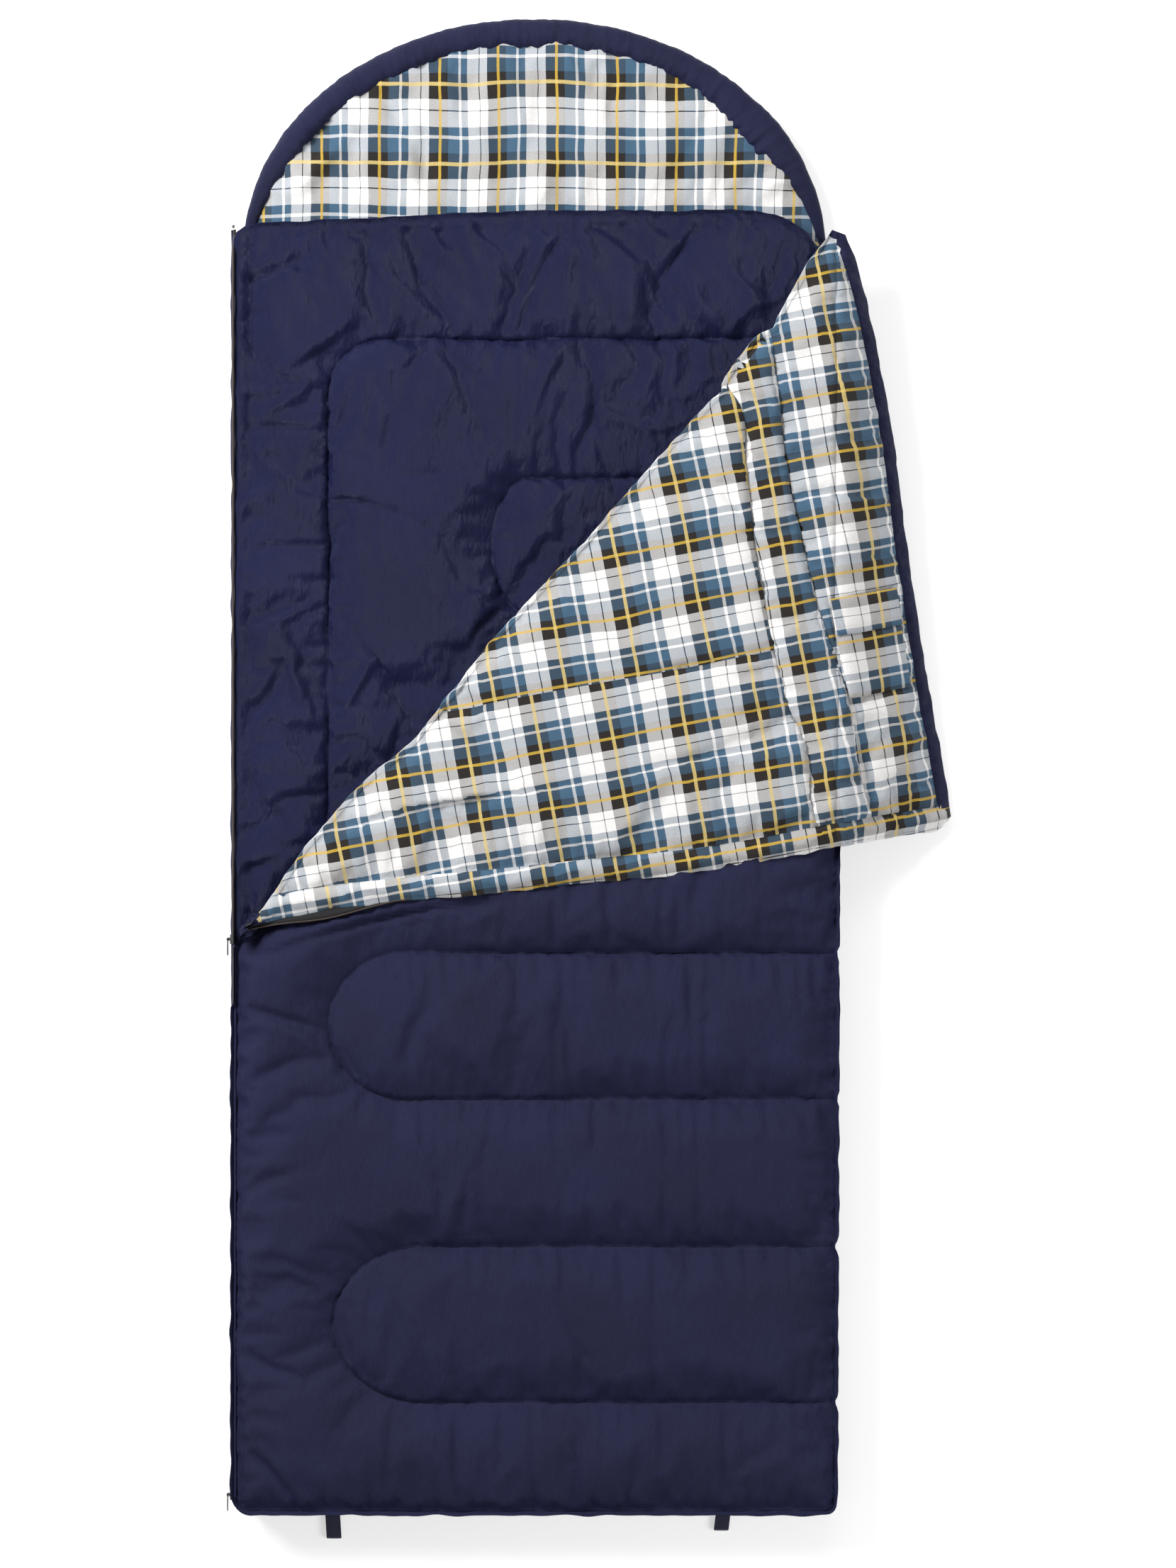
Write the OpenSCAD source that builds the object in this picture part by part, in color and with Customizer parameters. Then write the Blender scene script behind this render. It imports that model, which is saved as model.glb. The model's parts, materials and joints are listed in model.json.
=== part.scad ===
// Rectangular sleeping bag with a hood, lying flat, with the upper corner of its front panel turned back.
// +X points to the sewn side and -X to the zip, +Y runs from the foot to the hood, +Z is up.
// The origin is the middle of the back panel's underside.

/* [Bag] */
// Width over the panels
panel_w = 894; // [800:2:1000]
// Length of the front panel, foot to mouth
panel_len = 1925; // [1700:5:2000]
// Distance from the mouth down to the foot of the fold
open_len = 1077; // [900:1:1200]
// Radius of the two foot corners
foot_r = 30; // [10:1:60]
// Thickness of one layer of cover or lining cloth
skin = 2; // [1:0.5:3]

/* [Layers] */
// Thickness of the back panel
back_t = 28; // [20:1:40]
// Height of the sleeping space while the bag lies flat
space_h = 8; // [6:1:20]
// Thickness of the inner quilt
quilt_t = 24; // [16:1:30]
// Thickness of the front panel
front_t = 25; // [20:1:30]
// Depth kept under the turned-back corner's lining for its tube and pocket
trim_depth = 7; // [7:0.5:10]

/* [Hood] */
// Length of the hood past the mouth
hood_len = 310; // [260:5:340]
// Distance from the mouth down to the middle of the hood's ellipse
hood_drop = 40; // [20:5:60]
// Half-width of the hood where it joins the bag
hood_half_w = 438; // [380:1:440]
// Width of the rim at the crown
rim_w = 43; // [30:1:60]
// Width of the rim at the sides
rim_side_w = 38; // [20:1:50]
// Height of the rim
rim_h = 36; // [30:1:44]

/* [Inner quilt] */
// Gap between the quilt's hinge line and the fold
quilt_hinge_gap = 55; // [50:1:90]
// Radius of the quilt's upper corners
quilt_r = 45; // [20:1:80]

/* [Turned-back corner] */
// Angle by which the overhanging corner drops
droop = 26; // [0:1:28]
// Width of the padded edge beside the zip
hem_w = 29; // [20:1:40]
// Distance from the top edge to the draught tube
tube_from_top = 130; // [110:1:150]
// Width of the draught tube
tube_w = 72; // [50:1:90]

/* [Pocket] */
// Side of the square pocket
pocket_side = 102; // [80:1:110]
// Length of the pocket's flap
pocket_flap_len = 54; // [30:1:60]
// Distance from the right edge of the panel to the pocket's mouth
pocket_from_right = 600; // [560:1:640]

/* [Zip] */
// Height of the closed chain
chain_h = 5; // [4:0.5:6]
// Thickness of the chain
chain_t = 3; // [2:0.5:3]
// Length of a pull tab
pull_len = 24; // [18:1:30]

/* [Hanging loops] */
// Width of the webbing
loop_w = 22; // [18:1:30]
// Visible length of the left loop
loop_left_len = 49; // [30:1:60]
// Visible length of the right loop
loop_right_len = 37; // [30:1:60]

/* [Hidden] */
navy = "#2b2c48";
satin = "#333457";
plaid = "#8c9fae";
wadding = "#f2f2ee";
black = "#151518";
silver = "#c9ccd0";
coil = "#5a4632";

hw = panel_w / 2;
total_len = panel_len + hood_len;
foot_y = -total_len / 2;
mouth_y = foot_y + panel_len;
seam_t = 2.5;
panel_foot = foot_y + seam_t;
body_gap = 0.6;
ply_gap = 1;
fold_gap = 2;

quilt_z = back_t + space_h;
front_z = quilt_z + quilt_t + ply_gap;
front_top = front_z + front_t;
fold_z = front_top + fold_gap / 2;
flap_z = front_z + trim_depth;
flap_t = front_t - trim_depth;

fold_foot = [-hw, mouth_y - open_len];
fold_head = [hw, mouth_y];
fold_angle = atan2(fold_head.y - fold_foot.y, fold_head.x - fold_foot.x);
// In the closed bag the overhang's root is the mirror image of the bag's right edge.
root_angle = 2 * fold_angle + 90;
root_drop = panel_w * tan(root_angle - 180);

function fold_line_y(x) = fold_foot.y + (x - fold_foot.x) * tan(fold_angle);

hood_yc = mouth_y - hood_drop;
hood_b = hood_len + hood_drop;
// Where the hood hinges on the bag, and where the sides of the bag end.
hood_y = mouth_y + 28;
side_top = hood_yc - 20;
quilt_top = mouth_y + 10;

zip_z = front_z - ply_gap / 2;
tape_t = 1.2;
zip_foot = foot_y + 20;
zip_head = mouth_y - 8;
zip_rest = fold_foot.y + 7;
slider_len = 14;
slider_x = -hw - tape_t - chain_t;
lower_rest = foot_y + 12;

tube_t = 6.5;
tube_r = 3;
pocket_x = hw - pocket_from_right;
pocket_y = mouth_y - 10;

function unit(v) = v / norm(v);
function left_of(v) = [-v.y, v.x];
// A convex outline drawn anticlockwise, with every side moved inwards by d.
function inset(p, d) = [for (i = [0:len(p) - 1])
    let (n = len(p), a = p[(i + n - 1) % n], b = p[i], c = p[(i + 1) % n],
         m = left_of(unit(b - a)), k = left_of(unit(c - b)))
    b + d * (m + k) / (1 + m * k)];
// A circular corner around centre c from angle a0 to a1.
function corner(c, r, a0, a1, n = 6) = [for (i = [0:n]) let (a = a0 + (a1 - a0) * i / n)
    c + r * [cos(a), sin(a)]];
// The upper ellipse of the hood from angle a0 to a1.
function hood_arc(a, b, a0, a1, n = 40) = [for (i = [0:n]) let (t = a0 + (a1 - a0) * i / n)
    [a * cos(t), hood_yc + b * sin(t)]];
function hood_start(b, y) = asin((y - hood_yc) / b);

foot_corners = concat(corner([-hw + foot_r, panel_foot + foot_r], foot_r, 180, 270),
                      corner([hw - foot_r, panel_foot + foot_r], foot_r, 270, 360));
back_start = hood_start(hood_b, hood_y - body_gap / 2);
back_outline = concat(foot_corners,
    [[hw, side_top]], hood_arc(hood_half_w, hood_b, 0, back_start, 4),
    hood_arc(hood_half_w, hood_b, 180 - back_start, 180, 4), [[-hw, side_top]]);

// The front panel that stays put: everything on the foot side of the fold.
front_outline = concat(foot_corners, [fold_head, fold_foot]);
// The corner that turns back, drawn where it lies when the bag is closed.
flap_left = -hw + hem_w;
panel_gap = 1;
corner_gap = 0.3;
function root_line_y(x) = mouth_y - (hw - x) * tan(root_angle - 180);
flap_outline = inset([[flap_left - panel_gap, fold_line_y(flap_left - panel_gap)], fold_head,
                      [flap_left - panel_gap, root_line_y(flap_left - panel_gap)]], panel_gap);
// The overhang's sharp tip is cut off just short of the bag's right edge.
corner_tip = 8;
corner_outline = [[hw - corner_tip, mouth_y - corner_gap], [flap_left, mouth_y - corner_gap],
                  [flap_left, root_line_y(flap_left) + corner_gap]];

quilt_hw = hw - 5;
quilt_foot = foot_y + 10;
quilt_shift = quilt_hinge_gap / cos(fold_angle);
quilt_line_x = fold_foot.x + (quilt_top - quilt_shift - fold_foot.y) / tan(fold_angle);
quilt_line_y = fold_line_y(-quilt_hw) + quilt_shift;
quilt_cut = body_gap / cos(fold_angle);
quilt_outline = concat(
    [[-quilt_hw, quilt_line_y], [-quilt_hw, quilt_foot + foot_r]],
    corner([-quilt_hw + foot_r, quilt_foot + foot_r], foot_r, 190, 270, 5),
    corner([quilt_hw - foot_r, quilt_foot + foot_r], foot_r, 270, 360),
    corner([quilt_hw - quilt_r, quilt_top - quilt_r], quilt_r, 0, 90),
    [[quilt_line_x, quilt_top]]);
// The corner's end beside the zip is cut back, so that it clears the zip's tape as it lifts.
quilt_trim = 17;
quilt_trim_len = 80;
quilt_corner_outline = concat(
    [[-quilt_hw + quilt_trim, fold_line_y(-quilt_hw + quilt_trim) + quilt_shift + quilt_cut],
     [quilt_line_x - quilt_cut / tan(fold_angle), quilt_top]],
    corner([-quilt_hw + quilt_r, quilt_top - quilt_r], quilt_r, 90, 180),
    [[-quilt_hw, quilt_line_y + quilt_trim_len + quilt_trim]]);

// Turns a piece drawn in the closed bag back over the fold line.
module folded() {
    translate([fold_foot.x, fold_foot.y, fold_z])
        rotate([0, 0, fold_angle]) rotate([180, 0, 0]) rotate([0, 0, -fold_angle])
            translate([-fold_foot.x, -fold_foot.y, -fold_z]) children();
}

// Drops the overhanging corner about the bag's right edge, after it is folded back.
module drooped() {
    translate([hw, 0, fold_z + fold_gap / 2]) rotate([0, droop, 0])
        translate([-hw, 0, -fold_z - fold_gap / 2]) children();
}

// A plate of cloth with side walls: closed below, open above.
module tray(outline, z, t) {
    translate([0, 0, z]) difference() {
        linear_extrude(t) polygon(outline);
        translate([0, 0, skin]) linear_extrude(t) polygon(inset(outline, skin));
    }
}

// The same, closed above and open below.
module cover(outline, z, t) {
    translate([0, 0, z]) difference() {
        linear_extrude(t) polygon(outline);
        translate([0, 0, -skin]) linear_extrude(t) polygon(inset(outline, skin));
    }
}

module plate(outline, z, t) {
    translate([0, 0, z]) linear_extrude(t) polygon(inset(outline, skin));
}

// A rounded bar along Y: w wide, h high, from y0 to y1, with its lower left edge at x, z.
module bar(x, z, w, h, y0, y1, r = 3) {
    translate([x, y1, z]) rotate([90, 0, 0]) linear_extrude(y1 - y0)
        union() {
            translate([r, 0]) square([w - 2 * r, h]);
            translate([0, r]) square([w, h - 2 * r]);
            for (i = [r, w - r], j = [r, h - r]) translate([i, j]) circle(r, $fn = 24);
        }
}

module back_shell() { color(navy) tray(back_outline, 0, back_t); }
module back_filling() { color(wadding) plate(back_outline, skin, back_t - 2 * skin); }
module back_lining() { color(plaid) plate(back_outline, back_t - skin, skin); }

module quilt_shell() { color(satin) cover(quilt_outline, quilt_z, quilt_t); }
module quilt_filling() { color(wadding) plate(quilt_outline, quilt_z + skin, quilt_t - 2 * skin); }
module quilt_lining() { color(plaid) plate(quilt_outline, quilt_z, skin); }

module quilt_corner_shell() { color(satin) cover(quilt_corner_outline, quilt_z, quilt_t); }
module quilt_corner_filling() {
    color(wadding) plate(quilt_corner_outline, quilt_z + skin, quilt_t - 2 * skin);
}
module quilt_corner_lining() { color(plaid) plate(quilt_corner_outline, quilt_z, skin); }

module front_shell() { color(navy) cover(front_outline, front_z, front_t); }
module front_filling() { color(wadding) plate(front_outline, front_z + skin, front_t - 2 * skin); }
module front_lining() { color(plaid) plate(front_outline, front_z, skin); }

// The sewn right edge, which joins the back, the quilt and the front.
module side_seam() {
    color(navy) translate([hw, panel_foot + foot_r, skin])
        cube([seam_t, side_top - panel_foot - foot_r, front_top - 2 * skin]);
}
module foot_seam() {
    color(navy) translate([-hw + foot_r, foot_y, skin])
        cube([panel_w - 2 * foot_r, seam_t, front_top - 2 * skin]);
}

inner_a = hood_half_w - rim_side_w;
inner_b = hood_b - rim_w;
// Everything on the hood's side of its hinge, with the cut moved up by d.
module beyond_hinge(d = 0) {
    intersection() {
        children();
        translate([-hw, hood_y + body_gap / 2 + d]) square([panel_w, hood_len]);
    }
}
// The hood's opening inside the rim, made smaller by d.
module hood_opening(d) {
    beyond_hinge() polygon(hood_arc(inner_a - d, inner_b - d, 0, 180));
}
// The crescent between the hood's outer edge and its opening, narrowed by d on every side.
module crescent(d) {
    beyond_hinge(d / 10) difference() {
        polygon(hood_arc(hood_half_w - d, hood_b - d, 0, 180));
        polygon(hood_arc(inner_a + d, inner_b + d, 0, 180));
    }
}
module hood_shell() {
    color(navy) linear_extrude(skin) beyond_hinge() polygon(hood_arc(hood_half_w, hood_b, 0, 180));
}
hood_play = 0.3;
module hood_filling() {
    color(wadding) translate([0, 0, skin]) linear_extrude(back_t - 2 * skin) hood_opening(hood_play);
}
module hood_lining() {
    color(plaid) translate([0, 0, back_t - skin]) linear_extrude(skin) hood_opening(hood_play);
}
// The rim is a gathered tube, hollow for the elastic that runs through it.
rim_wall = 10;
rim_floor = 8;
module hood_rim() {
    color(navy) translate([0, 0, skin]) difference() {
        linear_extrude(rim_h - skin) crescent(0.1);
        translate([0, 0, rim_floor]) linear_extrude(rim_h - skin - 2 * rim_floor) crescent(rim_wall);
    }
}
module rim_elastic() {
    color(black) translate([0, 0, rim_h / 2]) linear_extrude(2) crescent(rim_wall + 3);
}

module flap_shell() { color(navy) folded() cover(flap_outline, flap_z, flap_t); }
module flap_filling() { color(wadding) folded() plate(flap_outline, flap_z + skin, flap_t - 2 * skin); }
module flap_lining() { color(plaid) folded() plate(flap_outline, flap_z, skin); }

module corner_shell() { color(navy) drooped() folded() cover(corner_outline, flap_z, flap_t); }
module corner_filling() {
    color(wadding) drooped() folded() plate(corner_outline, flap_z + skin, flap_t - 2 * skin);
}
module corner_lining() { color(plaid) drooped() folded() plate(corner_outline, flap_z, skin); }

// The padded edge beside the zip, cut at the overhang's root.
hem_z = front_z + 1.5;
hem_h = front_t - 1.5;
hem_r = 6;
root_y = mouth_y - root_drop;
root_cut = 1.5;
// The hem, its tape and its chain start this far from the fold's foot.
hem_start = fold_foot.y + 40;
hem_root = root_line_y(flap_left) + 1;
module hem(y0, y1) { color(plaid) folded() bar(-hw, hem_z, hem_w, hem_h, y0, y1, hem_r); }
module flap_hem() { hem(hem_start, root_y - root_cut); }
module corner_hem() { drooped() hem(hem_root, mouth_y); }

// The draught tube across the chest, on the lining side, cut at the overhang's root.
tube_y = mouth_y - tube_from_top - tube_w;
tube_end = hw - 60;
tube_inset = 3;
module tube_in(outline) {
    intersection() {
        translate([flap_left + skin, tube_y + tube_w, flap_z - tube_t])
            rotate([90, 0, 90]) mirror([1, 0, 0]) linear_extrude(tube_end - flap_left - skin) hull() {
                for (i = [tube_r, tube_w - tube_r]) translate([i, tube_r]) circle(tube_r, $fn = 24);
                translate([0, tube_r]) square([tube_w, tube_t - tube_r]);
            }
        translate([0, 0, flap_z - 2 * tube_t]) linear_extrude(2 * tube_t) polygon(inset(outline, tube_inset));
    }
}
module draught_tube() { color(plaid) folded() tube_in(flap_outline); }
module corner_tube() { color(plaid) drooped() folded() tube_in(corner_outline); }

// The pocket is a flat pouch on the lining, open towards the middle of the bag.
pouch_t = 5.6;
pouch_skin = 1;
pocket_lap = 8;
module pocket() {
    color(plaid) drooped() folded()
        translate([pocket_x - pocket_side, pocket_y - pocket_side, flap_z - pouch_t]) difference() {
            cube([pocket_side, pocket_side, pouch_t]);
            translate([pouch_skin, pouch_skin, pouch_skin])
                cube([pocket_side, pocket_side - 2 * pouch_skin, pouch_t]);
        }
}
// Its flap laps over the mouth, and is sewn on beyond it.
module pocket_flap() {
    color(plaid) drooped() folded()
        translate([pocket_x - pocket_lap, pocket_y - pocket_side, flap_z - pouch_t - pouch_skin - 0.2])
            cube([pocket_flap_len, pocket_side, pouch_skin]);
}

// Half of the zip's tape, from y0 to y1, on the back panel or on the front.
module tape(y0, y1, z0, z1) {
    color(black) translate([-hw - tape_t, y0, z0]) cube([tape_t, y1 - y0, z1 - z0]);
}
// Half of the zip's coil, on the edge of its tape.
module chain(y0, y1, z0, z1) {
    color(coil) translate([-hw - tape_t - chain_t, y0, z0]) cube([chain_t, y1 - y0, z1 - z0]);
}
tape_low = 10;
tape_high = front_top - skin;
tape_gap = 1.5;
chain_low = zip_z - chain_h / 2;
chain_high = zip_z + chain_h / 2;
chain_play = 0.3;
front_end = fold_foot.y - 1;
module zip_tape_back() { tape(zip_foot, zip_head, tape_low, zip_z - tape_gap); }
module zip_tape_front() { tape(zip_foot, front_end, zip_z + tape_gap, tape_high); }
module zip_tape_flap() { folded() tape(hem_start, root_y - root_cut, zip_z + tape_gap, tape_high); }
module zip_tape_corner() { drooped() folded() tape(root_y + 1, zip_head, zip_z + tape_gap, tape_high); }
module zip_chain_back() { chain(zip_foot, zip_head, chain_low, zip_z); }
module zip_chain_front() { chain(zip_foot, front_end, zip_z, chain_high); }
module zip_chain_flap() { folded() chain(hem_start, root_y - root_cut, zip_z + chain_play, chain_high); }
module zip_chain_corner() {
    drooped() folded() chain(root_y + 1, zip_head - slider_len, zip_z + chain_play, chain_high);
}
// A metal stop closes each end of the chain.
stop_len = 4;
module stop(y, h) {
    color(silver) translate([slider_x, y, zip_z - stop_len]) cube([chain_t + 1, stop_len, h]);
}
module zip_stop_top() { stop(zip_head, stop_len); }
module zip_stop_bottom() { stop(zip_foot - stop_len, 2 * stop_len); }

// A slider reaches over the chain, with a lip on each side of it and two posts that hold its pull's pin.
slider_wall = 2;
slider_h = 13;
slider_play = 0.6;
lip_h = 2.5;
post_gap = 2.7;
post_w = 4;
post_h = 1.4;
pin_r = 0.9;
eye_r = 2.6;
face_x = slider_x - slider_play - slider_wall;
pin_x = face_x - eye_r - 0.4;
module slider(y) {
    translate([face_x, y - slider_len / 2, zip_z - slider_h / 2]) difference() {
        cube([slider_wall + chain_t, slider_len, slider_h]);
        translate([slider_wall, -1, lip_h]) cube([2 * chain_t, slider_len + 2, slider_h - 2 * lip_h]);
    }
    post_len = face_x - pin_x + 2 * pin_r;
    for (z = [post_gap, -post_gap - post_h])
        translate([pin_x - pin_r - 0.3, y - post_w / 2, zip_z + z]) cube([post_len, post_w, post_h]);
    pin_len = 2 * post_gap + post_h;
    translate([pin_x, y, zip_z - pin_len / 2]) cylinder(r = pin_r, h = pin_len, $fn = 32);
}
// A pull tab with an eye around the slider's pin, hanging towards the foot.
eye_h = 4.8;
tab_t = 1.6;
tab_h = 7.6;
module pull(y) {
    translate([pin_x, y, zip_z - eye_h / 2]) difference() {
        union() {
            cylinder(r = eye_r, h = eye_h, $fn = 32);
            translate([-tab_t, -pull_len, 0]) cube([tab_t, pull_len - 1, eye_h]);
            translate([-tab_t, -pull_len, (eye_h - tab_h) / 2]) cube([tab_t, pull_len - 2 * post_w, tab_h]);
        }
        translate([0, 0, -1]) cylinder(r = pin_r + slider_play, h = eye_h + 2, $fn = 32);
    }
}
module slider_upper() { color(silver) slider(zip_rest); }
module pull_upper() { color(silver) pull(zip_rest); }
module slider_lower() { color(silver) slider(lower_rest + slider_len); }
module pull_lower() { color(silver) pull(lower_rest + slider_len); }

// A hanging loop of webbing, folded double around an open eye, with a rounded root that it swings about.
loop_ply = 1.4;
loop_eye = 5;
loop_left_x = -305;
loop_right_x = 285;
loop_root = 3;
module loop(x, len) {
    h = loop_eye + 2 * loop_ply;
    tip = h - len;
    translate([x - loop_w / 2, foot_y - body_gap - h / 2, h / 2]) rotate([90, 0, 90]) linear_extrude(loop_w)
        difference() {
            union() {
                translate([tip, -h / 2]) square([-tip, h]);
                for (y = [tip, 0]) translate([y, 0]) circle(h / 2, $fn = 48);
            }
            translate([tip, -loop_eye / 2]) square([-tip - loop_root, loop_eye]);
            translate([tip, 0]) circle(loop_eye / 2, $fn = 48);
        }
}
module loop_left() { color(navy) loop(loop_left_x, loop_left_len); }
module loop_right() { color(navy) loop(loop_right_x, loop_right_len); }

back_shell();
back_filling();
back_lining();
quilt_shell();
quilt_filling();
quilt_lining();
quilt_corner_shell();
quilt_corner_filling();
quilt_corner_lining();
front_shell();
front_filling();
front_lining();
side_seam();
foot_seam();
hood_shell();
hood_filling();
hood_lining();
hood_rim();
rim_elastic();
flap_shell();
flap_filling();
flap_lining();
flap_hem();
draught_tube();
corner_shell();
corner_filling();
corner_lining();
corner_hem();
corner_tube();
pocket();
pocket_flap();
zip_tape_back();
zip_tape_front();
zip_tape_flap();
zip_tape_corner();
zip_chain_back();
zip_chain_front();
zip_chain_flap();
zip_chain_corner();
zip_stop_top();
zip_stop_bottom();
slider_upper();
pull_upper();
slider_lower();
pull_lower();
loop_left();
loop_right();
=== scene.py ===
import json
import math

import bpy
import numpy as np
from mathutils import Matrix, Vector, noise
from mathutils.geometry import delaunay_2d_cdt


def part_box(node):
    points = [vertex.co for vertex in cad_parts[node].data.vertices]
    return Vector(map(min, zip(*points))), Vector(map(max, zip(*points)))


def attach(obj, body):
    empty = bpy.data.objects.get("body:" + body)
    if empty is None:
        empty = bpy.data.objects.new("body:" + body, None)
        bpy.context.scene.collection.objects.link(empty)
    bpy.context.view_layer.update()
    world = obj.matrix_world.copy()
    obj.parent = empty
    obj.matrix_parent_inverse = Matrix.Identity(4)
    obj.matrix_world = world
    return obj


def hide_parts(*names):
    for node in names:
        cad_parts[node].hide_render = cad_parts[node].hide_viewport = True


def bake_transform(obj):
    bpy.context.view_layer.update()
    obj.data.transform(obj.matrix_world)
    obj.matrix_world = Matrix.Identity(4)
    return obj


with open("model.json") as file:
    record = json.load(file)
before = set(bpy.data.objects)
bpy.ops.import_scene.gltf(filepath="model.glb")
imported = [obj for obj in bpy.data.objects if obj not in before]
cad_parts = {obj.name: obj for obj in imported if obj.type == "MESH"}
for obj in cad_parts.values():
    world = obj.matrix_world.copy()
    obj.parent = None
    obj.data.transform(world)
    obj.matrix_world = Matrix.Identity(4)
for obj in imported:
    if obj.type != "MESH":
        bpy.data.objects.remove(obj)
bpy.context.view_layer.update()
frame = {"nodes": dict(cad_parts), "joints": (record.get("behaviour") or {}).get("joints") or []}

JOINT = {j["name"]: j for j in frame["joints"]}
STEP = 0.008
RNG = np.random.default_rng(7)


# ------------ places and sizes, in metres
HALF_W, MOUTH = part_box("front_shell")[1][:2]
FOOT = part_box("foot_seam")[0].y
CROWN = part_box("hood_shell")[1].y
FLOOR_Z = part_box("back_shell")[0].z
TAPE_LO, TAPE_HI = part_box("zip_tape_back")

# The turned-back corner's fold starts at PIVOT and runs ALONG. ACROSS is to its right.
PIVOT = np.array(JOINT["flap_fold"]["pos_m"])
ALONG = -np.array(JOINT["flap_fold"]["axis"])[:2]
ACROSS = np.array([ALONG[1], -ALONG[0]])
# The corner's two sharp ends, and its overhang, which hangs down about HANG over a width of HANG_RUN.
FOOT_POINT = PIVOT[:2] + (0.012, 0.018)
HEAD_POINT = np.array([HALF_W + 0.006, MOUTH - 0.018])
DROOP = math.radians(JOINT["corner_hang"]["range_deg"][1])
HANG = np.array(JOINT["corner_hang"]["pos_m"])
HANG_RUN = 0.05
# The hood is half an ellipse, with a gathered rim that is widest at its top.
HOOD_CENTRE_Y = MOUTH - 0.04
HOOD_A = 0.438
HOOD_B = CROWN - HOOD_CENTRE_Y
RIM_W, RIM_SIDE_W = 0.043, 0.038
# The pocket's upper right corner on the closed bag, its side, and how far its flap laps over it.
POCKET_X, POCKET_Y = -0.153, 0.7975
POCKET_SIDE, POCKET_LAP = 0.102, 0.008
# One repeat of the check across and along, half the width of a sewn groove, and how high the zip lies.
PLAID_X, PLAID_Y = 0.0885, 0.107
GROOVE = 0.0032
ZIP_Z = 0.0605
# Undersides of the cloth layers as the bag lies.
QUILT_UNDER, FRONT_UNDER, FLAP_UNDER = 0.0365, 0.0612, 0.0887


# ------------ plane geometry
def fold_coords(p):
    """How far points lie along the fold line, and to the right of it."""
    d = np.asarray(p, float)[:, :2] - PIVOT[:2]
    return d @ ALONG, d @ ACROSS


def from_fold(s, p):
    """Points of the plane from their places along the fold line and to the right of it."""
    return PIVOT[:2] + np.outer(s, ALONG) + np.outer(p, ACROSS)


def mirrored(p):
    """The same cloth's place on the closed bag, for points on the turned-back corner."""
    s, q = fold_coords(p)
    return from_fold(s, -q)


def resample(points, step, closed=False):
    """The same line with its points about a step apart."""
    points = [np.asarray(p, float) for p in points]
    if closed:
        points = points + points[:1]
    out = []
    for a, b in zip(points, points[1:]):
        n = max(1, round(np.linalg.norm(b - a) / step))
        out += [a + (b - a) * i / n for i in range(n)]
    if not closed:
        out.append(points[-1])
    return np.array(out)


def run_along(line):
    """Distance along a line of points, at each of them."""
    return np.concatenate([[0], np.cumsum(np.linalg.norm(np.diff(line, axis=0), axis=1))])


def offset_line(line, d):
    """The line moved sideways, to its left."""
    line = np.asarray(line)
    t = np.gradient(line, axis=0)
    t /= np.maximum(np.linalg.norm(t, axis=1), 1e-9)[:, None]
    return line + np.column_stack([-t[:, 1], t[:, 0]]) * d


def apart(p, point):
    """Each point's distance to one point."""
    return np.linalg.norm(p - point, axis=1)


def distance(p, line, closed=False):
    """Each point's distance to a line of points."""
    line = np.asarray(line, float)
    if closed:
        line = np.vstack([line, line[:1]])
    a, d = line[:-1], line[1:] - line[:-1]
    best = np.full(len(p), 1e9)
    for k in range(0, len(p), 4000):
        w = p[k:k + 4000, None, :2] - a[None]
        t = np.clip((w * d).sum(2) / np.maximum((d * d).sum(1), 1e-12), 0, 1)
        best[k:k + 4000] = np.linalg.norm(w - t[..., None] * d, axis=2).min(1)
    return best


def inside(p, outline):
    """Which points lie inside a closed outline."""
    x, y = p[:, 0], p[:, 1]
    odd = np.zeros(len(p), bool)
    for (x0, y0), (x1, y1) in zip(outline, np.roll(outline, -1, 0)):
        if y0 != y1:
            odd ^= ((y0 > y) != (y1 > y)) & (x < (x1 - x0) * (y - y0) / (y1 - y0) + x0)
    return odd


def arc(centre, rx, ry, a0, a1, n):
    return [(centre[0] + rx * math.cos(math.radians(a0 + (a1 - a0) * i / n)),
             centre[1] + ry * math.sin(math.radians(a0 + (a1 - a0) * i / n))) for i in range(n + 1)]


def smooth(t):
    t = np.clip(t, 0, 1)
    return t * t * (3 - 2 * t)


def ripple(p, scale, seed, stretch=(1, 1)):
    """Smooth noise from -1 to 1 at points of the plane."""
    return np.array([noise.noise((x * stretch[0] / scale, y * stretch[1] / scale, seed))
                     for x, y in p[:, :2]])


def clear_of(q, edge, gap, lines):
    """Which points lie inside an edge, a gap from it, and clear of lines that each have their own gap."""
    good = inside(q, edge) & (distance(q, edge, closed=True) > gap)
    for line, line_gap in lines:
        good &= distance(q, line) > line_gap
    return good


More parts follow.
